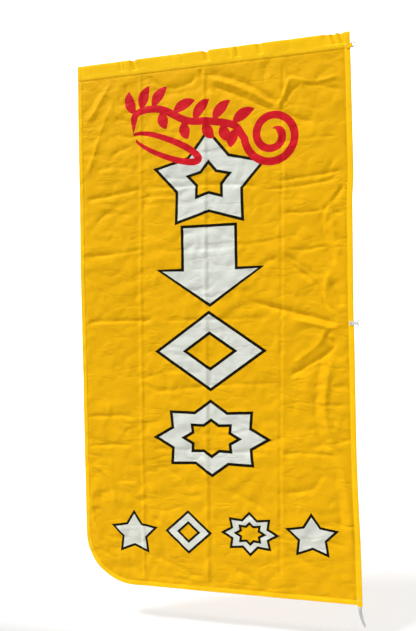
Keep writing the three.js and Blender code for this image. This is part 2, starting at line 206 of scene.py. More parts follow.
LOOSE_FOLDS = (
    # Below the sleeve: two long dips that run down to a knot on the third crease
    Fold(-3.8, 10, ((-0.455, -0.048), (-0.370, -0.075), (-0.290, -0.118), (-0.215, -0.178)), 0),
    Fold(3.0, 7.0, ((-0.450, -0.066), (-0.370, -0.097), (-0.290, -0.140), (-0.225, -0.186)), 0),
    Fold(-3.6, 8.0, ((-0.450, -0.085), (-0.370, -0.120), (-0.290, -0.163), (-0.225, -0.198)), 0),
    Fold(2.6, 6.0, ((-0.225, -0.185), (-0.198, -0.130), (-0.184, -0.085)), 0.6),
    Fold(-2.4, 6.0, ((-0.205, -0.180), (-0.184, -0.140), (-0.150, -0.120)), 0),
    Fold(2.0, 6.0, ((-0.190, -0.088), (-0.150, -0.108), (-0.100, -0.116), (-0.030, -0.104)), 0.4),
    Fold(-2.0, 6.0, ((-0.215, -0.192), (-0.160, -0.226), (-0.110, -0.238)), 0),
    Fold(-1.6, 6.0, ((-0.150, -0.116), (-0.090, -0.132), (-0.025, -0.150)), -0.4),
    Fold(-2.2, 11, ((-0.185, -0.020), (-0.190, -0.060), (-0.176, -0.100)), 0.5),
    Fold(-2.0, 14, ((-0.245, -0.022), (-0.262, -0.070), (-0.268, -0.120)), 0),
    Fold(-2.6, 8.0, ((-0.470, -0.030), (-0.462, -0.070), (-0.440, -0.110)), 0.5),
    Fold(-2.0, 9.0, ((-0.655, -0.034), (-0.600, -0.078), (-0.530, -0.084), (-0.470, -0.052)), -0.3),
    Fold(-1.4, 8.0, ((-0.640, -0.080), (-0.570, -0.104), (-0.500, -0.096)), -0.2),
    # Left of the first crease: light ridges that fan down from the sleeve
    Fold(2.4, 9.0, ((-0.775, -0.040), (-0.815, -0.100), (-0.850, -0.150), (-0.882, -0.170)), 0.3),
    Fold(2.2, 8.0, ((-0.760, -0.090), (-0.806, -0.180), (-0.850, -0.300), (-0.872, -0.360)), 0.3),
    Fold(-1.7, 9.0, ((-0.820, -0.060), (-0.850, -0.110), (-0.885, -0.138)), 0),
    Fold(-1.6, 7.0, ((-0.770, -0.165), (-0.720, -0.180), (-0.690, -0.196)), 0),
    Fold(-1.5, 8.0, ((-0.730, -0.050), (-0.722, -0.090), (-0.735, -0.130)), 0.4),
    Fold(-1.4, 7.0, ((-0.790, -0.290), (-0.730, -0.270), (-0.685, -0.250)), -0.3),
    Fold(-1.2, 7.0, ((-0.850, -0.340), (-0.770, -0.330), (-0.690, -0.345)), -0.3),
    Fold(-1.4, 6.0, ((-0.680, -0.414), (-0.655, -0.436), (-0.640, -0.452)), 0),
    Fold(-1.2, 6.0, ((-0.850, -0.520), (-0.800, -0.480), (-0.770, -0.470)), 0),
    # The bundle that gathers at the middle ring
    Fold(-4.2, 9.0, ((-0.040, -0.868), (-0.100, -0.850), (-0.180, -0.828), (-0.330, -0.786)), -0.3),
    Fold(2.6, 8.0, ((-0.045, -0.885), (-0.110, -0.870), (-0.190, -0.848)), 0),
    Fold(-3.6, 9.0, ((-0.040, -0.845), (-0.085, -0.800), (-0.105, -0.750), (-0.205, -0.664)), 0),
    Fold(-3.0, 12, ((-0.030, -0.820), (-0.048, -0.775), (-0.064, -0.735)), 0),
    Fold(2.6, 8.0, ((-0.055, -0.850), (-0.085, -0.770), (-0.070, -0.700)), 0),
    Fold(-3.4, 8.0, ((-0.050, -0.878), (-0.082, -0.905), (-0.064, -0.945), (-0.210, -1.036)), 0.3),
    Fold(2.2, 8.0, ((-0.085, -0.880), (-0.110, -0.930), (-0.190, -0.990)), 0),
    Fold(-2.2, 7.0, ((-0.216, -0.642), (-0.160, -0.680), (-0.100, -0.722)), 0),
    Fold(-1.6, 8.0, ((-0.222, -0.648), (-0.270, -0.672), (-0.335, -0.706)), 0),
    # The wedge on the pole side between the second and third rows
    Fold(-3.2, 8.0, ((-0.025, -0.438), (-0.058, -0.480), (-0.092, -0.522)), -0.5),
    Fold(2.4, 8.0, ((-0.040, -0.450), (-0.070, -0.500), (-0.085, -0.560)), 0),
    Fold(-2.8, 13, ((-0.092, -0.518), (-0.084, -0.580), (-0.066, -0.640), (-0.052, -0.690)), 0.5),
    Fold(2.2, 10, ((-0.060, -0.530), (-0.055, -0.600), (-0.035, -0.660)), 0),
    Fold(-1.4, 7.0, ((-0.060, -0.524), (-0.020, -0.528)), 0),
    # A long loose fold down the pole side under the middle ring
    Fold(3.2, 12, ((-0.062, -0.950), (-0.084, -1.060), (-0.088, -1.170), (-0.052, -1.262)), 0.7),
    Fold(2.8, 12, ((-0.055, -1.262), (-0.032, -1.380), (-0.024, -1.480), (-0.022, -1.590)), 0.6),
    Fold(-2.2, 12, ((-0.098, -0.960), (-0.118, -1.080), (-0.116, -1.190), (-0.085, -1.270)), 0),
    Fold(-2.0, 12, ((-0.070, -1.300), (-0.060, -1.400), (-0.050, -1.520)), 0),
    Fold(-1.8, 9.0, ((-0.098, -1.326), (-0.142, -1.382), (-0.235, -1.398)), 0.4),
    # Slack low down: short slanting dips and the light ridges over the round corner
    Fold(-1.7, 10, ((-0.663, -1.318), (-0.584, -1.348), (-0.510, -1.410)), 0),
    Fold(-1.7, 10, ((-0.435, -1.390), (-0.350, -1.418), (-0.270, -1.462)), 0),
    Fold(-1.6, 10, ((-0.674, -1.492), (-0.610, -1.522), (-0.548, -1.560)), 0),
    Fold(-1.6, 10, ((-0.676, -1.618), (-0.590, -1.650), (-0.500, -1.688)), 0),
    Fold(-1.5, 10, ((-0.432, -1.632), (-0.370, -1.655), (-0.310, -1.688)), 0),
    Fold(-1.3, 10, ((-0.240, -1.560), (-0.160, -1.610), (-0.090, -1.680)), 0),
    Fold(2.6, 9.0, ((-0.872, -1.325), (-0.808, -1.378), (-0.790, -1.466)), 0),
    Fold(2.6, 9.0, ((-0.886, -1.420), (-0.866, -1.530), (-0.796, -1.644)), 0),
    Fold(-1.8, 10, ((-0.850, -1.400), (-0.830, -1.500), (-0.770, -1.580)), 0),
    Fold(-1.4, 9.0, ((-0.790, -1.540), (-0.745, -1.620), (-0.735, -1.700)), 0),
)

# How far the pole side's edge stands in from a straight line: height and distance, in metres
POLE_SIDE_PULL = (
    (0.025, 0.0),
    (-0.080, 0.001),
    (-0.420, 0.002),
    (-0.480, -0.003),
    (-0.850, -0.007),
    (-0.920, -0.006),
    (-1.280, -0.007),
    (-1.400, -0.005),
    (-1.540, -0.001),
    (-1.700, 0.0),
)
FREE_SIDE_BOW = 0.003
FINE_SHARE = 0.38
RING_PLACES = ((0.0, -0.019), (0.0, MID_RING_Z))


class Drape:
    """How the cloth lies: the offset of every flat point, worked out once on a fine grid."""

    STEP = 2.5 * MM
    MARGIN = 40 * MM

    def __init__(self, fold_scale, crumple_scale):
        self.start_x = SLEEVE_LOW.x - self.MARGIN
        self.start_z = TAIL_LOW.z - self.MARGIN
        count_x = int((self.MARGIN - self.start_x) / self.STEP) + 1
        count_z = int((FLAG_TOP + self.MARGIN - self.start_z) / self.STEP) + 1
        x, z = np.meshgrid(
            self.start_x + self.STEP * np.arange(count_x),
            self.start_z + self.STEP * np.arange(count_z),
            indexing="ij",
        )
        height = fold_scale * self.folds(x, z) + crumple_scale * self.crumple(x, z)
        self.offset_y = self.sewn_dips(x, z) - height * self.freedom(x, z) - self.billow(x, z)
        self.offset_x = self.pull(x, z)
        self.slope_x, self.slope_z = np.gradient(self.offset_y, self.STEP)

    def creased_share(self, share):
        """1 on the given share of the cloth, where it bends most, and 0 elsewhere."""
        bend = np.abs(np.gradient(self.slope_x, self.STEP, axis=0))
        bend += np.abs(np.gradient(self.slope_z, self.STEP, axis=1))
        for axis in (0, 1):
            bend = sum(np.roll(bend, k, axis=axis) for k in (-1, 0, 1)) / 3
        return (bend > np.quantile(bend, 1 - share)).astype(float)

    def folds(self, x, z):
        """The height of all creases and folds together."""
        total = np.zeros(x.shape)
        for fold in PACKING_CREASES + LOOSE_FOLDS:
            width = fold.width * MM
            route = curve_through(fold.route, 6)
            low, high = route.min(axis=0) - 4 * width, route.max(axis=0) + 4 * width
            near = (x > low[0]) & (x < high[0]) & (z > low[1]) & (z < high[1])
            side, share = beside(route, x[near], z[near])
            bell = np.exp(-(np.abs(side / width) ** 1.5))
            shape = bell * (1 + fold.lean * side / width)
            ends = smooth(0, fold.fade, share) * smooth(0, fold.fade, 1 - share)
            uneven = 1 + 0.35 * noise(x[near], z[near], 0.06, 5)
            total[near] += fold.height * MM * shape * ends * uneven
        return total

    def crumple(self, x, z):
        """Small random creases, as in thin polyester that was packed away."""
        slant_x, slant_z = x + 0.35 * z, z - 0.35 * x
        creases = np.abs(noise(slant_x, 1.6 * slant_z, 0.10, 1)) - 0.3
        lesser = np.abs(noise(1.5 * x - 0.5 * z, z + 0.5 * x, 0.050, 2)) - 0.3
        fine = noise(x, 1.4 * z, 0.022, 3)
        return (2.4 * creases + 1.3 * lesser + 0.25 * fine) * MM

    def billow(self, x, z):
        """The slow waves of the whole cloth."""
        inside = smooth(-0.03, -0.25, z) * smooth(0.0, -0.2, x)
        slow = 2.6 * noise(x, 0.8 * z, 0.34, 7) + 1.2 * noise(x, z, 0.17, 8)
        return slow * MM * (0.25 + 0.75 * inside)

    def sewn_dips(self, x, z):
        """The narrow dips beside the sewn edges, where thread draws the cloth in."""
        width = 3.4 * MM
        from_corner = CORNER_R - np.hypot(x - CORNER_X, z - CORNER_Z)
        at_corner = (x < CORNER_X) & (z < CORNER_Z)
        from_hem = np.where(at_corner, from_corner, np.minimum(x + FLAG_W, z - FLAG_BOTTOM)) - HEM_W
        from_header = -x - CASING_W
        below_sleeve = SLEEVE_BOTTOM - z
        total = np.zeros(x.shape)
        for away, depth in ((from_hem, 0.7), (from_header, 1.2), (below_sleeve, 1.3)):
            total += depth * MM * np.exp(-(((away - 0.5 * width) / width) ** 2))
        return total

    def freedom(self, x, z):
        """How free the cloth is to leave its plane: little at its sewn edges, least at the rings."""
        free = 0.22 + 0.78 * smooth(-0.010, -0.045, x)
        free *= 0.45 + 0.55 * smooth(-FLAG_W, -FLAG_W + 0.03, x)
        free *= 0.30 + 0.70 * smooth(SLEEVE_BOTTOM + 0.008, SLEEVE_BOTTOM - 0.03, z)
        free *= 0.45 + 0.55 * smooth(FLAG_BOTTOM, FLAG_BOTTOM + 0.03, z)
        for ring_x, ring_z in RING_PLACES:
            free *= 0.05 + 0.95 * smooth(0.012, 0.06, np.hypot(x - ring_x, z - ring_z))
        return free * smooth(FLAG_BOTTOM - 0.02, FLAG_BOTTOM + 0.01, z)

    def pull(self, x, z):
        """How far the cloth is drawn sideways."""
        heights, pulls = np.array(POLE_SIDE_PULL[::-1]).T
        spread = 0.015
        level = sum(np.interp(z + k * spread, heights, pulls) for k in (-1, -0.5, 0, 0.5, 1)) / 5
        across = np.clip(1 + x / FLAG_W, 0, 1.1)
        down = np.clip((FLAG_TOP - z) / FLAG_H, 0, 1)
        bow = FREE_SIDE_BOW * np.sin(math.pi * down) * (1 - across)
        return level * across**2 - bow

    def read(self, field, x, z):
        """A field's value between its grid points."""
        u = np.clip((x - self.start_x) / self.STEP, 0, field.shape[0] - 1.001)
        v = np.clip((z - self.start_z) / self.STEP, 0, field.shape[1] - 1.001)
        i, j = u.astype(int), v.astype(int)
        a, b = u - i, v - j
        low = field[i, j] * (1 - a) + field[i + 1, j] * a
        high = field[i, j + 1] * (1 - a) + field[i + 1, j + 1] * a
        return low * (1 - b) + high * b

    def lay(self, x, z, lift=0.0):
        """Where flat points come to lie, with lift the way off the cloth's middle towards +Y."""
        x, z, lift = np.broadcast_arrays(np.asarray(x, float), np.asarray(z, float), lift)
        across, along = self.read(self.slope_x, x, z), self.read(self.slope_z, x, z)
        scale = lift / np.sqrt(1 + across**2 + along**2)
        return np.stack(
            [
                x + self.read(self.offset_x, x, z) - across * scale,
                self.read(self.offset_y, x, z) + scale,
                z - along * scale,
            ],
            axis=-1,
        )


_kept = {}


def drape():
    """The one lie of the cloth that all pieces share."""
    if "drape" not in _kept:
        cloth = bpy.context.scene.flag_cloth
        _kept["drape"] = Drape(cloth.fold_scale, cloth.crumple_scale)
    return _kept["drape"]


# ---------------------------------------------------------------- making meshes


def clear_selection():
    """Leaves nothing selected."""
    for thing in bpy.context.selected_objects:
        thing.select_set(False)


def make_active(thing):
    """Selects one thing alone and makes it the active one."""
    clear_selection()
    thing.select_set(True)
    bpy.context.view_layer.objects.active = thing


def new_piece(name, points, faces, flat=None, closed=True):
    """A mesh object from points and faces. flat holds the cloth's own x and z for each point."""
    mesh = bpy.data.meshes.new(name)
    mesh.from_pydata([tuple(p) for p in points], [], [tuple(f) for f in faces])
    if flat is not None:
        loops = np.empty(len(mesh.loops), int)
        mesh.loops.foreach_get("vertex_index", loops)
        layer = mesh.uv_layers.new(name="Cloth")
        layer.data.foreach_set("uv", np.asarray(flat, np.float32)[loops].ravel())
    thing = bpy.data.objects.new(name, mesh)
    bpy.context.scene.collection.objects.link(thing)
    if closed:
        turn_outwards(mesh)
    return thing


def turn_outwards(mesh):
    """Turns every face of a closed mesh outwards."""
    shape = bmesh.new()
    shape.from_mesh(mesh)
    bmesh.ops.recalc_face_normals(shape, faces=shape.faces)
    shape.to_mesh(mesh)
    shape.free()


def apply_modifier(thing, kind, **values):
    """Adds a modifier with the given values and applies it."""
    make_active(thing)
    modifier = thing.modifiers.new(kind.title(), kind)
    for key, value in values.items():
        setattr(modifier, key, value)
    bpy.ops.object.modifier_apply(modifier=modifier.name)


def finish_piece(thing, materials, body, nodes=(), angle=40):
    """Gives a piece its smooth shading and materials, hangs it on its body, and hides the CAD nodes that it
    stands for.
    """
    make_active(thing)
    bpy.ops.object.shade_smooth_by_angle(angle=math.radians(angle))
    if not thing.data.materials:
        for material in materials:
            thing.data.materials.append(material)
    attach(thing, body)
    if nodes:
        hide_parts(*nodes)
    clear_selection()
    return thing


def grid_faces(rows, loop):
    """Quads between neighbouring closed loops of points."""
    faces = []
    for i in range(rows - 1):
        for j in range(loop):
            k = (j + 1) % loop
            faces.append((i * loop + j, i * loop + k, (i + 1) * loop + k, (i + 1) * loop + j))
    return faces


def end_faces(rows, loop):
    """Quads that close both ends of a strip whose loop runs out on one face and back on the other."""
    faces = []
    for row in (0, rows - 1):
        for j in range(loop // 2 - 1):
            across = loop - 1 - j
            faces.append(tuple(row * loop + k for k in (j, j + 1, across - 1, across)))
    return faces


def lengths_along(line):
    """How far along a line each of its points lies."""
    return np.concatenate([[0], np.cumsum(np.linalg.norm(np.diff(line, axis=0), axis=1))])


def headings(line):
    """The unit direction of a line at each of its points."""
    ahead = np.gradient(line, axis=0)
    return ahead / np.linalg.norm(ahead, axis=1, keepdims=True)


def folded_strip(name, stations, centre, thickness, flat_of):
    """A strip of cloth swept along stations. centre[i, k] is its middle's distance and lift at each."""
    ahead = np.gradient(centre, axis=1)
    ahead /= np.linalg.norm(ahead, axis=2, keepdims=True)
    normal = np.stack([-ahead[..., 1], ahead[..., 0]], axis=2)
    outer = centre + normal * thickness / 2
    inner = centre - normal * thickness / 2
    loops = np.concatenate([outer, inner[:, ::-1]], axis=1)
    rows, loop = loops.shape[:2]
    s = np.repeat(np.asarray(stations, float)[:, None], loop, axis=1)
    x, z = flat_of(s, loops[..., 0])
    points = drape().lay(x, z, loops[..., 1]).reshape(-1, 3)
    faces = grid_faces(rows, loop) + end_faces(rows, loop)
    steps = np.linalg.norm(np.diff(centre, axis=1), axis=2)
    width = np.concatenate([np.zeros((rows, 1)), np.cumsum(steps, axis=1)], axis=1)
    flat = np.stack([s, np.concatenate([width, width[:, ::-1]], axis=1)], axis=2).reshape(-1, 2)
    return new_piece(name, points, faces, flat)


def hairpin(reach, lift, fold_steps=7, leaf_steps=8):
    """The middle of a strip folded over an edge at distance 0, from one leaf's end to the other's."""
    leaf = [(reach - (reach - lift) * k / leaf_steps, -lift) for k in range(leaf_steps)]
    turns = [math.pi * (k / fold_steps - 0.5) for k in range(fold_steps + 1)]
    bend = [(lift * (1 - math.cos(t)), lift * math.sin(t)) for t in turns]
    return np.array(leaf + bend + [(d, -w) for d, w in leaf[::-1]])


def tube(points, radius, sides=6):
    """Points and faces of a thin closed tube along a line, pinched at both ends."""
    line = np.array(points, float)
    ahead = headings(line)
    helper = np.where(np.abs(ahead[:, 1:2]) < 0.9, [[0, 1, 0]], [[1, 0, 0]])
    across = np.cross(ahead, helper)
    across /= np.linalg.norm(across, axis=1, keepdims=True)
    up = np.cross(across, ahead)
    turns = math.tau * np.arange(sides) / sides
    ring = np.cos(turns)[None, :, None] * across[:, None] + np.sin(turns)[None, :, None] * up[:, None]
    girth = np.full(len(line), radius)
    girth[[0, -1]] *= 0.45
    made = (line[:, None] + girth[:, None, None] * ring).reshape(-1, 3)
    faces = grid_faces(len(line), sides)
    faces.append(tuple(range(sides))[::-1])
    faces.append(tuple((len(line) - 1) * sides + k for k in range(sides)))
    return made, faces


def joined(parts):
    """One list of points and one of faces from several (points, faces) pairs."""
    points, faces, count = [], [], 0
    for made, sides in parts:
        points.append(made)
        faces += [tuple(k + count for k in face) for face in sides]
        count += len(made)
    return np.vstack(points), faces


# ---------------------------------------------------------------- materials


def new_material(name, colour, roughness, specular=0.3):
    """A material with its shader set up, and helpers to wire nodes into it."""
    material = bpy.data.materials.new(name)
    material.use_nodes = True
    shader = material.node_tree.nodes["Principled BSDF"]
    shader.inputs["Base Color"].default_value = (*colour, 1)
    shader.inputs["Roughness"].default_value = roughness
    shader.inputs["Specular IOR Level"].default_value = specular
    return material, shader


def node(material, kind, inputs=None, **values):
    """A new node with its plain settings, and with its inputs wired or set."""
    made = material.node_tree.nodes.new(kind)
    for key, value in values.items():
        setattr(made, key, value)
    for key, value in (inputs or {}).items():
        if isinstance(value, bpy.types.NodeSocket):
            material.node_tree.links.new(value, made.inputs[key])
        else:
            made.inputs[key].default_value = value
    return made


def threads(material, vector, axis, pitch):
    """Fine ridges of the given pitch across one axis."""
    scale = math.tau / 20 / pitch
    made = node(
        material, "ShaderNodeTexWave", {"Vector": vector, "Scale": scale, "Distortion": 0.4, "Detail": 1.0},
        bands_direction=axis,
    )
    return made.outputs["Fac"]


def weave(material, vector, pitch, slub=0.25):
    """The height of a plain weave: threads both ways, with a little unevenness."""
    warp = threads(material, vector, "X", pitch)
    weft = threads(material, vector, "Y", pitch)
    crossed = node(material, "ShaderNodeMath", {0: warp, 1: weft}, operation="MULTIPLY")
    uneven = node(material, "ShaderNodeTexNoise", {"Vector": vector, "Scale": 0.25 / pitch, "Detail": 2.0})
    thick = node(
        material, "ShaderNodeMath", {0: uneven.outputs["Fac"], 1: slub, 2: crossed.outputs[0]},
        operation="MULTIPLY_ADD",
    )
    return thick.outputs[0]


def shade_of(colour, factor):
    """A colour made lighter or darker, with its alpha."""
    return (*[min(1.0, c * factor) for c in colour], 1)


def mottled(material, vector, colour, amount, size):
    """A colour that drifts a little over the given size, with a finer drift on top."""
    broad = node(material, "ShaderNodeTexNoise", {"Vector": vector, "Scale": 1 / size, "Detail": 3.0})
    fine = node(material, "ShaderNodeTexNoise", {"Vector": vector, "Scale": 7 / size, "Detail": 2.0})
    both = node(
        material, "ShaderNodeMath", {0: fine.outputs["Fac"], 1: 0.35, 2: broad.outputs["Fac"]},
        operation="MULTIPLY_ADD",
    )
    drift = node(
        material, "ShaderNodeMapRange",
        {"Value": both.outputs[0], "From Min": 0.45, "From Max": 0.9, "To Min": 0.0, "To Max": 1.0},
    )
    mixed = node(material, "ShaderNodeMix", {0: drift.outputs[0]}, data_type="RGBA")
    mixed.inputs["A"].default_value = shade_of(colour, 1 - amount)
    mixed.inputs["B"].default_value = shade_of(colour, 1 + amount)
    return mixed.outputs["Result"]


def crinkles(material, vector, size):
    """Fine creases as in packed polyester: 0 along a net of bent lines that comes and goes, 1 between."""
    bend = node(material, "ShaderNodeTexNoise", {"Vector": vector, "Scale": 0.7 / size, "Detail": 3.0})
    drawn = node(
        material, "ShaderNodeMapping",
        {"Vector": vector, "Rotation": (0, 0, 0.16), "Scale": (0.5, 1.5, 1.0)},
    )
    bent = node(
        material, "ShaderNodeVectorMath",
        {0: bend.outputs["Color"], 1: (0.9 * size,) * 3, 2: drawn.outputs[0]},
        operation="MULTIPLY_ADD",
    )
    net = node(
        material, "ShaderNodeTexVoronoi", {"Vector": bent.outputs[0], "Scale": 1 / size, "Randomness": 1.0},
        feature="DISTANCE_TO_EDGE",
    )
    groove = node(
        material, "ShaderNodeMapRange", {"Value": net.outputs["Distance"], "From Max": 0.16},
        interpolation_type="SMOOTHSTEP",
    )
    places = node(material, "ShaderNodeTexNoise", {"Vector": vector, "Scale": 0.6 / size, "Detail": 1.0})
    share = node(
        material, "ShaderNodeMapRange", {"Value": places.outputs["Fac"], "From Min": 0.42, "From Max": 0.62},
        interpolation_type="SMOOTHSTEP",
    )
    height = node(
        material, "ShaderNodeMix", {"Factor": share.outputs[0], "A": 1.0, "B": groove.outputs[0]},
        data_type="FLOAT",
    )
    return height.outputs[0]


def cloth_material(name, colour, pitch, roughness=0.62, amount=0.035, depth=0.05, specular=0.08, crinkle=0.0):
    """Thin woven cloth: its weave and fine creases in the bump, and a colour that drifts slightly."""
    if name in bpy.data.materials:
        return bpy.data.materials[name]
    material, shader = new_material(name, colour, roughness, specular)
    links = material.node_tree.links
    flat = node(material, "ShaderNodeUVMap", uv_map="Cloth").outputs["UV"]
    links.new(mottled(material, flat, colour, amount, 0.12), shader.inputs["Base Color"])
    height = weave(material, flat, pitch)
    bump = node(material, "ShaderNodeBump", {"Height": height, "Strength": 0.5, "Distance": depth * MM})
    for size in (0.11, 0.045) if crinkle else ():
        creased = crinkles(material, flat, size)
        bump = node(
            material, "ShaderNodeBump",
            {
                "Height": creased,
                "Strength": 1.0,
                "Distance": crinkle * size,
                "Normal": bump.outputs["Normal"],
            },
        )
    links.new(bump.outputs["Normal"], shader.inputs["Normal"])
    worn = node(material, "ShaderNodeTexNoise", {"Vector": flat, "Scale": 24.0, "Detail": 3.0})
    gloss = node(
        material, "ShaderNodeMapRange",
        {"Value": worn.outputs["Fac"], "To Min": roughness - 0.08, "To Max": roughness + 0.08},
    )
    links.new(gloss.outputs[0], shader.inputs["Roughness"])
    shader.inputs["Specular Tint"].default_value = shade_of(colour, 1.1)
    return material


def object_material(name, colour, roughness, specular, size, amount, depth):
    """A grained material that reads the piece's own place, for thread and plastic."""
    if name in bpy.data.materials:
        return bpy.data.materials[name]
    material, shader = new_material(name, colour, roughness, specular)
    links = material.node_tree.links
    place = node(material, "ShaderNodeTexCoord").outputs["Object"]
    links.new(mottled(material, place, colour, amount, size), shader.inputs["Base Color"])
    grain = node(material, "ShaderNodeTexNoise", {"Vector": place, "Scale": 4 / size, "Detail": 3.0})
    bump = node(
        material, "ShaderNodeBump", {"Height": grain.outputs["Fac"], "Strength": 0.4, "Distance": depth * MM}
    )
    links.new(bump.outputs["Normal"], shader.inputs["Normal"])
    return material


def panel_cloth():
    """The thin yellow cloth of the panel."""
    cloth = bpy.context.scene.flag_cloth
    return cloth_material("yellow_polyester", cloth.panel_colour, cloth.weave_pitch, crinkle=cloth.crinkle)


def trim_cloth():
    """The doubled yellow cloth of the sleeve, the hems and the casing."""
    cloth = bpy.context.scene.flag_cloth
    return cloth_material(
        "doubled_polyester", cloth.trim_colour, cloth.weave_pitch, roughness=0.6, amount=0.03
    )


def webbing():
    """The white woven tape."""
    fittings = bpy.context.scene.flag_fittings
    return cloth_material(
        "white_webbing", fittings.webbing_colour, 0.9 * MM,
        roughness=0.8, amount=0.05, depth=0.35, specular=0.2,
    )


def ring_plastic():
    """The pale plastic of the rings."""
    colour = bpy.context.scene.flag_fittings.ring_colour
    return object_material("moulded_plastic", colour, 0.38, 0.45, 0.008, 0.05, 0.06)


def yellow_thread():
    """The thread of the stitch rows."""
    return object_material("spun_thread", bpy.context.scene.flag_thread.colour, 0.6, 0.25, 0.02, 0.08, 0.05)


def tack_thread():
    """The paler thread of the bar tacks."""
    colour = bpy.context.scene.flag_thread.tack_colour
    return object_material("bar_tack_thread", colour, 0.6, 0.25, 0.02, 0.06, 0.05)


# ---------------------------------------------------------------- settings


def colour_setting(name, description, default):
    """A colour in the panel."""
    return bpy.props.FloatVectorProperty(
        name=name, description=description, subtype="COLOR", size=3, min=0, max=1, default=default
    )


def length_setting(name, description, default):
    """A length in the panel, in metres."""
    return bpy.props.FloatProperty(name=name, description=description, default=default, min=0, unit="LENGTH")


def number_setting(name, description, default):
    """A plain number in the panel."""
    return bpy.props.FloatProperty(name=name, description=description, default=default)


class StageSettings(bpy.types.PropertyGroup):
    """Camera, floor and light."""

    camera_place: bpy.props.FloatVectorProperty(
        name="Camera", description="Where the camera stands", subtype="TRANSLATION",
        default=(-0.0690, -1.7335, -0.8390),
    )
    camera_aim: bpy.props.FloatVectorProperty(
        name="Aim", description="The point that the camera looks at", subtype="TRANSLATION",
        default=(-0.4623, 0.0, -0.8330),
    )
    camera_roll: bpy.props.FloatProperty(
        name="Roll", description="Turn of the camera about its line of sight", subtype="ANGLE",
        default=math.radians(-1.22),
    )
    lens: number_setting("Lens", "Focal length in millimetres", 31.38)
    floor_drop: length_setting("Floor drop", "Gap between the tie tail's tip and the floor", 0.06)
    key_strength: number_setting("Top light", "Strength of the raking light", 4.2)
    back_strength: number_setting("Back light", "Strength of the light behind", 0.35)
    world_strength: number_setting("Room light", "Even light all round", 0.50)
    paper_glow: number_setting("Paper glow", "How far the backdrop is lit up", 1.1)


class ClothSettings(bpy.types.PropertyGroup):
    """The panel's cloth and how it lies."""

    fine_step: length_setting("Fine step", "Size of the panel's triangles where it is creased", 4.7 * MM)
    coarse_step: length_setting("Coarse step", "Size of the panel's triangles where it is flat", 9.5 * MM)
    fold_scale: number_setting("Folds", "Height of the folds", 1.5)
    crumple_scale: number_setting("Crumple", "Height of the small creases", 1.5)
    crinkle: number_setting("Crinkle", "Depth of the finest creases", 0.012)
    weave_pitch: length_setting("Weave pitch", "Distance from thread to thread", 0.5 * MM)
    panel_colour: colour_setting("Panel", "Colour of the single cloth", (0.80, 0.42, 0.005))
    trim_colour: colour_setting("Trim", "Colour of the doubled cloth", (0.95, 0.55, 0.008))


class PrintSettings(bpy.types.PropertyGroup):
    """The printed figures."""

    outline: length_setting("Outline", "Width of the dark outline", 9.5 * MM)
    small_outline: length_setting("Small outline", "Width of the small figures' outline", 7.6 * MM)
    white: colour_setting("White", "Colour of the pale print", (0.67, 0.69, 0.62))
    dark: colour_setting("Outline colour", "Colour of the outlines", (0.010, 0.009, 0.004))
    red: colour_setting("Red", "Colour of the flourish", (0.60, 0.012, 0.020))


class ThreadSettings(bpy.types.PropertyGroup):
    """Stitches and bar tacks."""

    pitch: length_setting("Stitch pitch", "From one stitch to the next", 3.2 * MM)
    thickness: length_setting("Thread", "Thickness of the thread", 0.45 * MM)
    colour: colour_setting("Thread colour", "Colour of the stitches", (0.80, 0.45, 0.03))
    tack_colour: colour_setting("Tack colour", "Colour of the bar tacks", (0.82, 0.66, 0.45))


class FittingSettings(bpy.types.PropertyGroup):
    """Webbing and rings."""

    webbing_colour: colour_setting("Webbing", "Colour of the white webbing", (0.66, 0.68, 0.66))
    ring_colour: colour_setting("Rings", "Colour of the plastic rings", (0.47, 0.48, 0.42))


# ---------------------------------------------------------------- stage


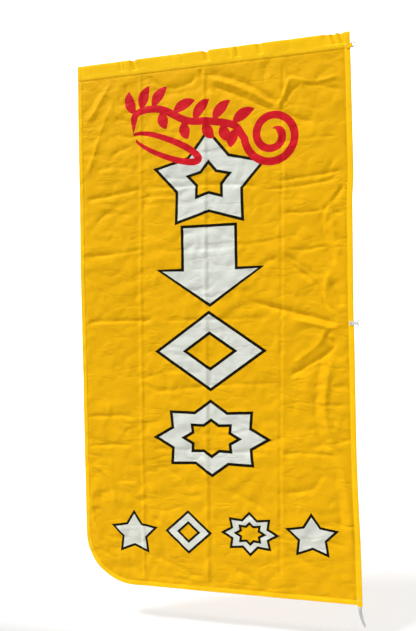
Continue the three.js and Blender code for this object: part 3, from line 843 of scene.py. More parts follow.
class FLAG_OT_stage(bpy.types.Operator):
    """Sets up the camera, the pale floor and the soft light"""

    bl_idname = "banner_flag.stage"
    bl_label = "Stage"

    def execute(self, context):
        settings = context.scene.flag_stage
        self.make_camera(context, settings)
        self.make_floor(settings)
        self.make_light(context, settings)
        return {"FINISHED"}

    def make_camera(self, context, settings):
        lens = bpy.data.cameras.new("camera")
        lens.lens = settings.lens
        camera = bpy.data.objects.new("camera", lens)
        context.scene.collection.objects.link(camera)
        place, aim = Vector(settings.camera_place), Vector(settings.camera_aim)
        turn = (aim - place).to_track_quat("-Z", "Y").to_matrix().to_4x4()
        roll = Matrix.Rotation(settings.camera_roll, 4, "Z")
        camera.matrix_world = Matrix.Translation(place) @ turn @ roll
        context.scene.camera = camera

    def make_floor(self, settings):
        """A floor that sweeps up into a far wall, and glows with painted light behind the flag."""
        level = CAD_LOW.z - settings.floor_drop
        reach, wall, sweep, steps = 7.0, 5.0, 1.5, 12
        profile = [(-reach, level)]
        for k in range(steps + 1):
            turn = math.pi / 2 * k / steps
            profile.append((wall - sweep + sweep * math.sin(turn), level + sweep * (1 - math.cos(turn))))
        profile.append((wall, level + reach))
        points = [(side * reach, y, z) for y, z in profile for side in (-1, 1)]
        faces = [(2 * k, 2 * k + 1, 2 * k + 3, 2 * k + 2) for k in range(len(profile) - 1)]
        floor = new_piece("studio_floor", points, faces, closed=False)
        material, shader = new_material("studio_paper", (0.45, 0.45, 0.45), 0.95, 0.0)
        # The paper glows: painted light that brightens the floor from just in front of the flag backwards,
        # where the flag's shadow falls, and again towards the far wall.
        shader.inputs["Emission Color"].default_value = (1, 1, 1, 1)
        place = node(material, "ShaderNodeTexCoord").outputs["Object"]
        depth = node(material, "ShaderNodeSeparateXYZ", {0: place}).outputs["Y"]
        half = settings.paper_glow / 2
        near = node(
            material, "ShaderNodeMapRange",
            {"Value": depth, "From Min": -0.15, "From Max": 0.1, "To Min": 0.0, "To Max": half},
        )
        far = node(
            material, "ShaderNodeMapRange",
            {"Value": depth, "From Min": 1.5, "From Max": 4.0, "To Min": 0.0, "To Max": half},
        )
        glow = node(material, "ShaderNodeMath", {0: near.outputs[0], 1: far.outputs[0]}, operation="ADD")
        material.node_tree.links.new(glow.outputs[0], shader.inputs["Emission Strength"])
        floor.data.materials.append(material)
        floor.data.shade_smooth()

    def make_light(self, context, settings):
        world = bpy.data.worlds.new("studio")
        world.use_nodes = True
        background = world.node_tree.nodes["Background"]
        background.inputs["Color"].default_value = (1.0, 1.0, 1.0, 1)
        background.inputs["Strength"].default_value = settings.world_strength
        context.scene.world = world
        context.scene.view_settings.view_transform = "Standard"
        lights = (
            ("top_light", (-0.48, -0.34, 0.95), 14, settings.key_strength),
            ("back_light", (-0.4, 0.7, 0.7), 40, settings.back_strength),
        )
        for name, source, spread, strength in lights:
            lamp = bpy.data.lights.new(name, "SUN")
            lamp.angle = math.radians(spread)
            lamp.energy = strength
            light = bpy.data.objects.new(name, lamp)
            context.scene.collection.objects.link(light)
            light.rotation_euler = (-Vector(source)).to_track_quat("-Z", "Y").to_euler()


# ---------------------------------------------------------------- tie tail

TAIL_ROUTE = (
    (0.0, 0.0),
    (0.0, -9.0),
    (0.0, -18.0),
    (0.6, -28.0),
    (2.4, -39.0),
    (5.4, -51.0),
    (9.6, -63.0),
    (14.6, -74.0),
)
TAIL_INSIDE = 14 * MM
TAIL_TWIST = math.radians(68)


def tape_section(width, thickness, ribs):
    """Points round a flat woven tape's section, with (across, out) for each, and its selvedges rounded."""
    half, thick = width / 2, thickness / 2
    edge = [(half - thick * (1 - math.sin(t)), thick * math.cos(t)) for t in (0.5, 1.1, 1.57, 2.04, 2.64)]
    top = [(-half + thick + (width - thickness) * k / ribs, thick) for k in range(ribs + 1)]
    one_side = top + edge
    return one_side + [(-a, -b) for a, b in one_side]


def tape_along(name, line, turns, width, thickness, rib_pitch, ribs=9):
    """A woven tape along a line. turns holds the angle of its width from the flag's plane at each point."""
    line = np.array(line, float)
    lengths = lengths_along(line)
    count = int(lengths[-1] / rib_pitch * 2) + 1
    at = np.linspace(0, lengths[-1], count)
    centre = np.stack([np.interp(at, lengths, line[:, k]) for k in range(3)], axis=1)
    turn = np.interp(at, lengths, turns)
    ahead = headings(centre)
    out = np.array([[0.0, -1.0, 0.0]]) * np.ones((count, 1))
    across = np.cross(ahead, out)
    across /= np.linalg.norm(across, axis=1, keepdims=True)
    wide = np.cos(turn)[:, None] * across + np.sin(turn)[:, None] * out
    face = np.cross(wide, ahead)
    section = np.array(tape_section(width, thickness, ribs))
    loop = len(section)
    rib = 1 + 0.10 * np.where(np.arange(count) % 2, 1.0, -1.0)[:, None]
    lift = section[None, :, 1] * rib
    points = centre[:, None] + section[None, :, :1] * wide[:, None] + lift[..., None] * face[:, None]
    faces = grid_faces(count, loop) + end_faces(count, loop)
    flat = np.stack(
        [np.repeat(at[:, None], loop, axis=1), np.repeat(section[None, :, 0], count, axis=0)], axis=2
    )
    return new_piece(name, points.reshape(-1, 3), faces, flat.reshape(-1, 2))


class FLAG_OT_tie_tail(bpy.types.Operator):
    """Makes the header tape's free end, which ties the flag down"""

    bl_idname = "banner_flag.tie_tail"
    bl_label = "Tie tail"

    def execute(self, context):
        mouth = CASING_LOW.z
        route = [(TAPE_X + x * MM, 0, mouth + TAIL_INSIDE + z * MM) for x, z in TAIL_ROUTE]
        line = curve_through(route, 8)
        below = np.clip((mouth - line[:, 2]) / (mouth - line[-1, 2]), 0, 1)
        tail = tape_along("tie_tail_tape", line, TAIL_TWIST * below**0.5, TAPE_W, TAPE_T, 1.3 * MM)
        finish_piece(tail, [webbing()], "flag", ["tie_tail"])
        return {"FINISHED"}


# ---------------------------------------------------------------- printed figures


def scaled(points, centre, size):
    """Unit points moved to a centre and stretched to a size."""
    return np.array(points) * np.array(size) / 2 + np.array(centre)


def star(tips, waist, turn=0.5):
    """A star in the unit square, one tip up, its waist a share of its reach."""
    points = []
    for k in range(2 * tips):
        reach = 1.0 if k % 2 == 0 else waist
        angle = math.pi * (turn + k / tips)
        points.append((reach * math.cos(angle), reach * math.sin(angle)))
    return points


ARROW_DOWN = (
    (0.0, -1.0),
    (1.0, -0.05),
    (0.52, -0.05),
    (0.52, 1.0),
    (-0.52, 1.0),
    (-0.52, -0.05),
    (-1.0, -0.05),
)
DIAMOND = ((0.0, -1.0), (1.0, 0.0), (0.0, 1.0), (-1.0, 0.0))


def moved_in(polygon, distance):
    """The polygon with each side moved in by a distance, and out where it is negative."""
    points = np.array(polygon, float)
    area = np.sum(points[:, 0] * np.roll(points[:, 1], -1) - points[:, 1] * np.roll(points[:, 0], -1))
    side = np.sign(area) * distance
    made = []
    for before, here, after in zip(np.roll(points, 1, axis=0), points, np.roll(points, -1, axis=0)):
        a, b = (here - before) / np.linalg.norm(here - before), (after - here) / np.linalg.norm(after - here)
        na, nb = np.array([-a[1], a[0]]), np.array([-b[1], b[0]])
        made.append(here + side * (na + nb) / max(0.25, 1 + na @ nb))
    return np.array(made)


def outlined(shape, centre, size, outline, hole=0.0):
    """A pale figure with a dark outline, and a hole of its own shape where one is asked for."""
    outer = scaled(shape, centre, size)
    layers = [(outer, "dark"), (moved_in(outer, outline), "white")]
    if hole:
        inner = scaled(shape, centre, np.array(size) * hole)
        layers += [(moved_in(inner, -outline), "dark"), (inner, "panel")]
    return layers


def figures(settings):
    """All figures in the order of printing, each a polygon and the name of its ink."""
    big, small = settings.outline, settings.small_outline
    layers = []
    layers += outlined(star(5, 0.60), (-0.450, -0.398), (0.392, 0.340), big, 0.32)
    layers += outlined(ARROW_DOWN, (-0.452, -0.672), (0.360, 0.268), big)
    layers += outlined(DIAMOND, (-0.456, -0.948), (0.372, 0.262), big, 0.40)
    layers += outlined(star(8, 0.74), (-0.457, -1.230), (0.392, 0.252), big, 0.42)
    layers += outlined(star(5, 0.54), (-0.728, -1.552), (0.172, 0.156), small)
    layers += outlined(DIAMOND, (-0.542, -1.537), (0.158, 0.142), small, 0.36)
    layers += outlined(star(8, 0.70), (-0.340, -1.530), (0.190, 0.142), small, 0.40)
    layers += outlined(star(5, 0.54), (-0.145, -1.527), (0.176, 0.150), small)
    return layers


VINE_STEM = (
    (-0.704, -0.222),
    (-0.690, -0.158),
    (-0.610, -0.150),
    (-0.520, -0.196),
    (-0.440, -0.206),
    (-0.365, -0.226),
    (-0.334, -0.268),
)


def flourish():
    """The red vine: ribbons, each a middle line and its half width at every point."""
    stem = curve_through(VINE_STEM, 16)
    count = len(stem)
    ribbons = [(stem, 0.0120 * smooth(-0.02, 0.12, np.linspace(0, 1, count)))]
    ahead = np.gradient(stem, axis=0)
    leaves = 12
    for k in range(leaves):
        at = int((0.16 + 0.80 * k / leaves) * (count - 1))
        side = -1 if k % 2 and k > 2 else 1
        heading = math.atan2(ahead[at][1], ahead[at][0])
        steps = np.linspace(0, 1, 14)
        turns = heading + side * (math.radians(82) - math.radians(46) * steps)
        length = 0.086 if side > 0 else 0.066
        way = np.cumsum(np.stack([np.cos(turns), np.sin(turns)], axis=1), axis=0) * length / 14
        ribbons.append((stem[at] + way, 0.0180 * np.sin(math.pi * np.linspace(0.05, 0.99, 14)) ** 0.8))
    turn = np.linspace(math.radians(182), math.radians(182 + 610), 90)
    reach = np.linspace(0.104, 0.026, 90)
    around = np.stack([0.85 * reach * np.cos(turn), 0.90 * reach * np.sin(turn)], axis=1)
    curl = np.array([-0.243, -0.268]) + around
    ribbons.append((curl, 0.0125 * smooth(1.05, 0.9, np.linspace(0, 1, 90))))
    u = np.linspace(math.radians(168), math.radians(-150), 80)
    tilt = math.radians(-24)
    long_way = np.stack([0.120 * np.cos(u), 0.028 * np.sin(u)], axis=1)
    turned = long_way @ np.array([[math.cos(tilt), math.sin(tilt)], [-math.sin(tilt), math.cos(tilt)]])
    swash = np.array([-0.592, -0.278]) + turned
    ribbons.append((swash, 0.0115 * np.sin(math.pi * np.linspace(0.06, 0.96, 80)) ** 0.5))
    return ribbons


def inside(polygon, x, z):
    """Which points lie in a polygon."""
    found = np.zeros(x.shape, bool)
    for (ax, az), (bx, bz) in zip(polygon, np.roll(polygon, -1, axis=0)):
        crosses = (az > z) != (bz > z)
        if az != bz:
            found ^= crosses & (x < (bx - ax) * (z - az) / (bz - az) + ax)
    return found


def on_ribbon(line, half, x, z):
    """Which points lie on a ribbon, found by their distance from its middle line."""
    reach = half.max()
    low, high = line.min(axis=0) - reach, line.max(axis=0) + reach
    near = np.flatnonzero((x > low[0]) & (x < high[0]) & (z > low[1]) & (z < high[1]))
    side, share = beside(line, x[near], z[near])
    lengths = np.concatenate([[0], np.cumsum(np.hypot(*np.diff(line, axis=0).T))])
    width = np.interp(share * lengths[-1], lengths, half)
    found = np.zeros(x.shape, bool)
    found[near] = np.abs(side) < width
    return found


def ribbon_edges(line, half):
    """The two edge lines of a ribbon, broken where it crosses itself."""
    ahead = headings(line)
    normal = np.stack([-ahead[:, 1], ahead[:, 0]], axis=1)
    runs = []
    for side in (-1, 1):
        edge = line + side * half[:, None] * normal
        clear = ~on_ribbon(line, half * 0.97, edge[:, 0], edge[:, 1])
        runs += [(a, b) for a, b, p, q in zip(edge, edge[1:], clear, clear[1:]) if p and q]
    return runs


def split_side(a, b, step):
    """Points from a up to b, no more than a step apart, without b itself."""
    count = max(1, math.ceil(np.linalg.norm(b - a) / step))
    return [a + (b - a) * k / count for k in range(count)]


# ---------------------------------------------------------------- panel


def on_panel(x, z, margin=0.0):
    """Whether a flat point lies on the panel, at least a margin in from its cut edge."""
    centre_x, centre_z = CORNER_X, CORNER_Z
    reach = centre_x - PANEL_LOW.x
    ok = (x > PANEL_LOW.x + margin) & (x < PANEL_HIGH.x - margin)
    ok &= (z > PANEL_LOW.z + margin) & (z < PANEL_HIGH.z - margin)
    at_corner = (x < centre_x) & (z < centre_z)
    return ok & ~(at_corner & (np.hypot(x - centre_x, z - centre_z) > reach - margin))


def panel_outline(step):
    """The panel's cut edge as evenly spaced points."""
    reach = CORNER_X - PANEL_LOW.x
    arc_steps = math.ceil(math.pi / 2 * reach / step)
    turns = [math.pi * (1 + k / arc_steps / 2) for k in range(arc_steps + 1)]
    arc = [np.array([CORNER_X + reach * math.cos(t), CORNER_Z + reach * math.sin(t)]) for t in turns]
    corners = [np.array(p) for p in (
        (PANEL_HIGH.x, PANEL_LOW.z), (PANEL_HIGH.x, PANEL_HIGH.z), (PANEL_LOW.x, PANEL_HIGH.z))]
    points = arc[:-1]
    for a, b in zip([arc[-1], *corners], [*corners, arc[0]]):
        points += split_side(a, b, step)
    return np.array(points)


def staggered(step):
    """Staggered rows of points over the whole panel."""
    found = []
    for k, z in enumerate(np.arange(PANEL_LOW.z + step / 2, PANEL_HIGH.z, step * 0.87)):
        x = np.arange(PANEL_LOW.x + step * (0.5 if k % 2 else 1.0), PANEL_HIGH.x, step)
        found.append(np.stack([x, np.full(x.shape, z)], axis=1))
    points = np.vstack(found)
    return points[on_panel(points[:, 0], points[:, 1], step * 0.45)]


def edge_rows(step):
    """Rows of points beside the sewn edges, close enough together for their narrow dips."""
    rows = []
    for away in (-2.5 * MM, 0.5 * MM, 3.0 * MM, 6.0 * MM):
        heights = np.arange(CORNER_Z, PANEL_HIGH.z - step, step)
        widths = np.arange(CORNER_X, PANEL_HIGH.x - step, step)
        turns = np.arange(math.pi, 1.5 * math.pi, step / CORNER_R)
        reach = CORNER_R - HEM_W - away
        header = np.arange(PANEL_LOW.z + HEM_W, PANEL_HIGH.z - step, step)
        seam = np.arange(PANEL_LOW.x + HEM_W, PANEL_HIGH.x - CASING_W, step)
        rows += [(-CASING_W - away, z) for z in header]
        rows += [(x, SLEEVE_BOTTOM - away) for x in seam]
        rows += [(HEM_W + away - FLAG_W, z) for z in heights]
        rows += [(x, FLAG_BOTTOM + HEM_W + away) for x in widths]
        rows += [(CORNER_X + reach * math.cos(t), CORNER_Z + reach * math.sin(t)) for t in turns]
    points = np.array(rows)
    return points[on_panel(points[:, 0], points[:, 1], 2 * MM)]


def panel_points(fine, coarse, outlines):
    """Points over the panel: close together where the cloth is creased, and clear of the outlines' own."""
    creased = drape().creased_share(FINE_SHARE)
    kept = []
    for step, wanted in ((fine, True), (coarse, False)):
        points = staggered(step)
        points = points[(drape().read(creased, points[:, 0], points[:, 1]) > 0.5) == wanted]
        tree = KDTree(len(outlines) + len(kept))
        for k, point in enumerate([*outlines, *kept]):
            tree.insert((*point, 0), k)
        tree.balance()
        kept += [p for p in points if tree.find((*p, 0))[2] > step * 0.5]
    return kept


def print_constraints(layers, ribbons, step):
    """Points and sides of every printed outline."""
    points, sides = [], []
    for polygon, _ in layers:
        first = len(points)
        for a, b in zip(polygon, np.roll(polygon, -1, axis=0)):
            points += split_side(a, b, step)
        count = len(points) - first
        sides += [(first + k, first + (k + 1) % count) for k in range(count)]
    for line, half in ribbons:
        for a, b in ribbon_edges(line, half):
            sides.append((len(points), len(points) + 1))
            points += [a, b]
    return points, sides


PRINT_STEP = 5 * MM
EDGE_STEP = 6 * MM
INKS = ("panel", "dark", "white", "red")


def ink_of(layers, ribbons, x, z):
    """The index of the ink at each point."""
    inks = np.zeros(x.shape, int)
    for polygon, ink in layers:
        inks[inside(polygon, x, z)] = INKS.index(ink)
    for line, half in ribbons:
        inks[on_ribbon(line, half, x, z)] = INKS.index("red")
    return inks


class FLAG_OT_panel(bpy.types.Operator):
    """Cuts the cloth panel with its print, and lays it in its folds"""

    bl_idname = "banner_flag.panel"
    bl_label = "Panel"

    def execute(self, context):
        step = context.scene.flag_cloth.fine_step
        layers = figures(context.scene.flag_print)
        ribbons = flourish()
        points, sides = print_constraints(layers, ribbons, PRINT_STEP)
        edge = panel_outline(EDGE_STEP)
        first = len(points)
        points += list(edge)
        sides += [(first + k, first + (k + 1) % len(edge)) for k in range(len(edge))]
        points += list(edge_rows(EDGE_STEP))
        inner = panel_points(step, context.scene.flag_cloth.coarse_step, points)
        every = [Vector(p) for p in points] + [Vector(p) for p in inner]
        made = delaunay_2d_cdt(every, sides, [], 0, 1e-5)
        flat = np.array([tuple(v) for v in made[0]])
        triangles = np.array(made[2])
        middle = flat[triangles].mean(axis=1)
        kept = on_panel(middle[:, 0], middle[:, 1], -1e-6)
        triangles, middle = triangles[kept], middle[kept]
        used, renumbered = np.unique(triangles, return_inverse=True)
        flat, triangles = flat[used], renumbered.reshape(triangles.shape)
        place = drape().lay(flat[:, 0], flat[:, 1])
        panel = new_piece("banner_panel", place, triangles, flat, closed=False)
        self.face_front(panel)
        cloth = context.scene.flag_cloth
        inks = context.scene.flag_print
        pitch, crinkle = cloth.weave_pitch, cloth.crinkle
        for material in (
            panel_cloth(),
            cloth_material("dark_print", inks.dark, pitch, 0.5, 0.2, specular=0.3, crinkle=crinkle),
            cloth_material("white_print", inks.white, pitch, 0.55, 0.02, specular=0.2, crinkle=crinkle),
            cloth_material("red_print", inks.red, pitch, 0.55, 0.05, specular=0.2, crinkle=crinkle),
        ):
            panel.data.materials.append(material)
        ink = ink_of(layers, ribbons, middle[:, 0], middle[:, 1])
        panel.data.polygons.foreach_set("material_index", ink)
        apply_modifier(panel, "SOLIDIFY", thickness=CLOTH_T, offset=0, use_even_offset=False)
        finish_piece(panel, [], "flag", ["flag_panel"], angle=60)
        return {"FINISHED"}

    def face_front(self, panel):
        """Turns every triangle's face to the front."""
        for face in panel.data.polygons:
            if face.normal.y > 0:
                face.flip()


# ---------------------------------------------------------------- sleeve

# Where the sleeve is pinched: place, width, depth of the dip and of the top edge's notch, in millimetres.
# Each dip slopes down gently from the free side and comes up in a step.
PINCHES = (
    (-741, 5.0, 2.8, 0.2),
    (-728, 4.5, 2.0, 0.0),
    (-694, 8.0, 7.5, 3.6),
    (-560, 7.0, 0.8, 0.3),
    (-530, 6.0, 1.0, 0.2),
    (-445, 9.0, 7.5, 4.4),
    (-372, 9.0, 1.6, 0.6),
    (-344, 6.5, 3.2, 0.8),
    (-273, 8.0, 3.4, 1.0),
    (-180, 9.0, 1.2, 0.5),
    (-64, 10.0, 4.0, 1.0),
    (-44, 9.0, 8.0, 1.0),
    (-22, 7.0, 5.5, 2.6),
)


def sleeve_pinch(x):
    """The depth of the dip and of the notch at each place along the sleeve."""
    dip, notch = np.zeros(np.shape(x)), np.zeros(np.shape(x))
    for place, width, depth, step in PINCHES:
        away = (x - place * MM) / (width * MM)
        dip = dip + depth * MM * smooth(-2.2, 0.1, away) * smooth(0.8, 0, away)
        notch = notch + step * MM * smooth(-2.6, 0, away) * smooth(0.6, 0, away)
    return dip, notch


def sleeve_lift(x, z):
    """How far the sleeve's front leaf stands off the flag's plane."""
    open_up = smooth(SEAM_TOP - 1 * MM, SEAM_TOP + 30 * MM, z)
    shut_end = smooth(-FLAG_W + 2 * MM, -FLAG_W + 26 * MM, x)
    swell = 0.72 + 0.28 * noise(x, z, 0.09, 11) + 0.18 * noise(x, z, 0.03, 12)
    pocket = POCKET_LIFT * swell * (0.3 + 0.7 * shut_end)
    pucker = 0.16 * MM * noise(x, z, 0.008, 13) * smooth(SEAM_TOP + 8 * MM, SEAM_TOP - 8 * MM, z)
    dip, _ = sleeve_pinch(x + 0.25 * z)
    dent = dip * smooth(SEAM_TOP - 1 * MM, SEAM_TOP + 7 * MM, z)
    return SEAM_LIFT + pucker + (pocket - SEAM_LIFT) * open_up - dent


def sleeve_flat(s, d):
    """The sleeve's cloth for what runs along it: s is the way along and d the height."""
    return s, d


def upright_flat(s, d):
    """The sleeve's cloth for what runs up it: s is the height and d the way along."""
    return d, s


def upright_lift(s, d):
    """How far the sleeve's leaf stands off where a row of stitches runs up it."""
    return sleeve_lift(d, s) + 0.1 * MM


class FLAG_OT_sleeve(bpy.types.Operator):
    """Folds the sleeve that the pole's arm slides into"""

    bl_idname = "banner_flag.sleeve"
    bl_label = "Pole sleeve"

    def execute(self, context):
        stations = np.arange(SLEEVE_LOW.x, SLEEVE_HIGH.x + 1e-6, 2.5 * MM)
        leaf = np.linspace(SLEEVE_BOTTOM, FLAG_TOP - 8 * MM, 17)
        turns = np.linspace(0, math.pi, 13)[1:-1]
        rise = FLAG_TOP - SLEEVE_T / 2 - leaf[-1]
        x = stations[:, None]
        _, notch = sleeve_pinch(x)
        front = -sleeve_lift(x, leaf[None])
        dip, _ = sleeve_pinch(x + 0.25 * leaf[None])
        back = np.maximum(sleeve_lift(x, leaf[None]), SEAM_LIFT) + 0.9 * np.maximum(dip - 2 * MM, 0)
        low, high = front[:, -1:], back[:, -1:]
        bend = (low + high) / 2 - (high - low) / 2 * np.cos(turns)
        z_leaf = np.repeat(leaf[None], len(stations), axis=0)
        z_bend = leaf[-1] + rise * np.sin(turns)[None] * np.ones(x.shape)
        heights = np.concatenate([z_leaf, z_bend, z_leaf[:, ::-1]], axis=1)
        lifts = np.concatenate([front, bend, back[:, ::-1]], axis=1)
        share = np.clip((heights - SLEEVE_BOTTOM) / (FLAG_TOP - SLEEVE_BOTTOM), 0, 1)
        heights = heights - notch * share**2
        hem = smooth(-11.5 * MM, -10.5 * MM, x) * 0.25 * MM
        lifts = lifts + hem * np.sign(lifts)
        centre = np.stack([heights, lifts], axis=2)
        sleeve = folded_strip("pole_sleeve_cloth", stations, centre, SLEEVE_T, sleeve_flat)
        finish_piece(sleeve, [trim_cloth()], "flag", ["pole_sleeve"], angle=50)
        return {"FINISHED"}


# ---------------------------------------------------------------- header and hems


def casing_flat(s, d):
    """The header's cloth: s runs up the flag and d in from the pole side's edge."""
    return -d, s


def casing_lift(s, d):
    """How far the casing's leaf stands off: round over the tape, and drawn in along its stitches."""
    over_tape = smooth(CASING_W, CASING_W - 3.4 * MM, d)
    pucker = 0.13 * MM * noise(s, d, 0.007, 21) + 0.10 * MM * noise(s, d, 0.022, 22)
    return SEAM_LIFT + (CASING_LIFT - SEAM_LIFT) * over_tape + pucker * smooth(0, 4 * MM, d)


def side_flat(s, d):
    """The free side's hem: s runs up the flag and d in from its edge."""
    return -FLAG_W + d, s


ARC_LENGTH = math.pi / 2 * CORNER_R


def bottom_flat(s, d):
    """The lower hem: s runs round the corner and then along the bottom, and d in from the edge."""
    turn = math.pi + np.clip(s, 0, ARC_LENGTH) / CORNER_R
    straight = np.clip(s - ARC_LENGTH, 0, None)
    x = CORNER_X + (CORNER_R - d) * np.cos(turn) + straight
    z = CORNER_Z + (CORNER_R - d) * np.sin(turn)
    return x, z


def hem_lift(s, d):
    """How far a hem's leaf stands off the panel, with its puckers between the stitches."""
    pucker = 0.16 * MM * noise(s, d, 0.008, 31) + 0.12 * MM * noise(s, d, 0.030, 32)
    return HEM_LIFT + pucker * smooth(0, 4 * MM, d)


def edge_strip(name, stations, reach, lift, thickness, flat_of):
    """A strip folded over one of the flag's edges."""
    base = hairpin(reach, 0.45 * MM)
    stations = np.asarray(stations, float)
    centre = np.repeat(base[None], len(stations), axis=0)
    extra = lift(stations[:, None], base[None, :, 0]) - 0.45 * MM
    grow = smooth(0, 2.2 * MM, base[:, 0])[None]
    centre[..., 1] += np.sign(base[None, :, 1]) * extra * grow
    return folded_strip(name, stations, centre, thickness, flat_of)


def even_stations(start, end, step):
    """Evenly spaced places from start to end, no more than a step apart."""
    return np.linspace(start, end, math.ceil(abs(end - start) / step) + 1)


class FLAG_OT_header(bpy.types.Operator):
    """Folds the header's casing round its webbing tape"""

    bl_idname = "banner_flag.header"
    bl_label = "Header"

    def execute(self, context):
        stations = even_stations(CASING_LOW.z, CASING_HIGH.z, 3 * MM)
        casing = edge_strip("header_casing_cloth", stations, CASING_W, casing_lift, SLEEVE_T, casing_flat)
        finish_piece(casing, [trim_cloth()], "flag", ["header_casing"], angle=50)

        heights = even_stations(TAPE_LOW.z, TAPE_HIGH.z, 12 * MM)
        line = drape().lay(np.full(heights.shape, TAPE_X), heights)
        tape = tape_along("header_webbing", line, np.zeros(len(line)), TAPE_W, TAPE_T * 0.9, 4 * MM, ribs=4)
        finish_piece(tape, [webbing()], "flag", ["header_tape"])
        return {"FINISHED"}


class FLAG_OT_hems(bpy.types.Operator):
    """Folds the hems of the free side and of the bottom"""

    bl_idname = "banner_flag.hems"
    bl_label = "Hems"

    def execute(self, context):
        stations = even_stations(SIDE_LOW.z, SIDE_HIGH.z, 3 * MM)
        side = edge_strip("side_hem_cloth", stations, HEM_W, hem_lift, SLEEVE_T, side_flat)
        finish_piece(side, [trim_cloth()], "flag", ["side_hem"], angle=50)

        length = ARC_LENGTH + HEM_HIGH.x - CORNER_X
        stations = even_stations(0, length, 3 * MM)
        bottom = edge_strip("bottom_hem_cloth", stations, HEM_W, hem_lift, SLEEVE_T, bottom_flat)
        finish_piece(bottom, [trim_cloth()], "flag", ["bottom_hem"], angle=50)
        return {"FINISHED"}


# ---------------------------------------------------------------- stitching


def stitch_row(start, end, across, lift, flat_of, thread, pitch):
    """Lock stitches on both faces, each a short pinched capsule bent to the cloth."""
    count = max(1, round((end - start) / pitch))
    sides = 6
    turns = math.tau * np.arange(sides) / sides
    reach = 0.40 * pitch
    rings = [
        (-reach, 0.35, -0.55),
        (-0.62 * reach, 0.9, -0.05),
        (0.62 * reach, 0.9, -0.05),
        (reach, 0.35, -0.55),
    ]
    parts = []
    faces = grid_faces(len(rings), sides)
    faces += [tuple(range(sides))[::-1], tuple(len(rings) * sides - sides + k for k in range(sides))]
    middles = start + (end - start) * (np.arange(count) + 0.5) / count
    along = np.array([[r[0]] * sides for r in rings]).ravel()
    girth = np.array([[r[1]] * sides for r in rings]).ravel()
    sink = np.array([[r[2]] * sides for r in rings]).ravel()
    wide = thread / 2 * girth * np.cos(np.tile(turns, len(rings)))
    high = thread / 2 * (girth * np.sin(np.tile(turns, len(rings))) + sink)
    s = middles[:, None] + along
    d = across + wide + 0.06 * thread * np.sin(7 * middles)[:, None]
    for side in (-1, 1):
        x, z = flat_of(s, d)
        points = drape().lay(x, z, side * (lift(s, d) + SLEEVE_T / 2 + high))
        parts += [(block, faces) for block in points]
    return parts


class FLAG_OT_stitching(bpy.types.Operator):
    """Sews the sleeve, the header and the hems"""

    bl_idname = "banner_flag.stitching"
    bl_label = "Stitching"

    def execute(self, context):
        thread = context.scene.flag_thread.thickness
        pitch = context.scene.flag_thread.pitch
        left, right = SLEEVE_LOW.x + 3 * MM, -1.5 * MM
        top = CASING_HIGH.z - 1 * MM
        bottom_length = ARC_LENGTH + HEM_HIGH.x - CORNER_X
        rows = (
            ("sleeve_seam_stitches_upper", ["sleeve_seam_stitching_upper"],
             (left, right, SEAM_ROWS[0], sleeve_lift, sleeve_flat)),
            ("sleeve_seam_stitches_lower", ["sleeve_seam_stitching_lower"],
             (left, right, SEAM_ROWS[1], sleeve_lift, sleeve_flat)),
            ("sleeve_mouth_stitches", ["sleeve_mouth_stitching"],
             (SEAM_TOP + 1 * MM, FLAG_TOP - 8 * MM, -10.5 * MM, upright_lift, upright_flat)),
            ("sleeve_end_stitches", ["sleeve_end_stitching"],
             (SLEEVE_BOTTOM + 1 * MM, FLAG_TOP - 8 * MM, SLEEVE_LOW.x + HEM_W, upright_lift, upright_flat)),
            ("header_stitches", ["header_stitching"],
             (CASING_LOW.z + 1 * MM, top, CASING_W - 1.4 * MM, casing_lift, casing_flat)),
            ("side_hem_stitches", ["side_hem_stitching"],
             (CORNER_Z, top, HEM_W - 2 * MM, hem_lift, side_flat)),
            ("bottom_hem_stitches", ["bottom_hem_stitching"],
             (0, bottom_length, HEM_W - 2 * MM, hem_lift, bottom_flat)),
        )
        for name, nodes, (start, end, across, lift, flat_of) in rows:
            points, faces = joined(stitch_row(start, end, across, lift, flat_of, thread, pitch))
            stitches = new_piece(name, points, faces)
            finish_piece(stitches, [yellow_thread()], "flag", nodes, angle=70)
        return {"FINISHED"}


class FLAG_OT_bar_tacks(bpy.types.Operator):
    """Sews the dense bar tacks at the points that carry load"""

    bl_idname = "banner_flag.bar_tacks"
    bl_label = "Bar tacks"

    def execute(self, context):
        outside = {
            "sleeve_bar_tack_left": HEM_LIFT + SLEEVE_T / 2,
            "top_tab_bar_tack": TAB_LIFT + TAB_T / 2,
            "mid_tab_bar_tack": TAB_LIFT + TAB_T / 2,
            "header_bar_tack": CASING_LIFT + SLEEVE_T / 2,
        }
        thread = 0.40 * MM
        for name, lift in outside.items():
            low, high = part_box(name)
            middle, width = (low.x + high.x) / 2, high.x - low.x
            parts = []
            for side in (-1, 1):
                steps = 2 * int((high.z - low.z) / (0.62 * MM))
                heights = np.linspace(low.z, high.z, steps + 1)
                swing = np.where(np.arange(steps + 1) % 2, 0.5, -0.5) * width
                across = middle + swing + 0.12 * MM * np.sin(11 * np.arange(steps + 1))
                parts.append(tube(drape().lay(across, heights, side * (lift + 0.05 * MM)), thread / 2))
                rails = np.linspace(low.z, high.z, 12)
                for rail in (-0.25, 0.25):
                    place = np.full(len(rails), middle + rail * width)
                    line = drape().lay(place, rails, side * (lift + thread * 0.55))
                    parts.append(tube(line, thread * 0.45))
            points, faces = joined(parts)
            tack = new_piece(f"{name}_thread", points, faces)
            finish_piece(tack, [tack_thread()], "flag", [name], angle=70)
        return {"FINISHED"}


# ---------------------------------------------------------------- tabs and rings

RING_POINTS = 64
RING_ROUNDING = 0.75 * MM
TAB_T = 0.8 * MM
TAB_LIFT = 2.05 * MM


def ring_frame(name):
    """Where a ring's bar is, and the ring's own axes: out of the flag, through it, and along the bar."""
    joint = next(j for j in frame["joints"] if j["name"] == f"{name}_swing")
    along = Vector(joint["axis"]).normalized()
    through = Vector((0, 1, 0))
    out = through.cross(along)
    return Vector(joint["pos_m"]), Matrix((out, through, along)).transposed()


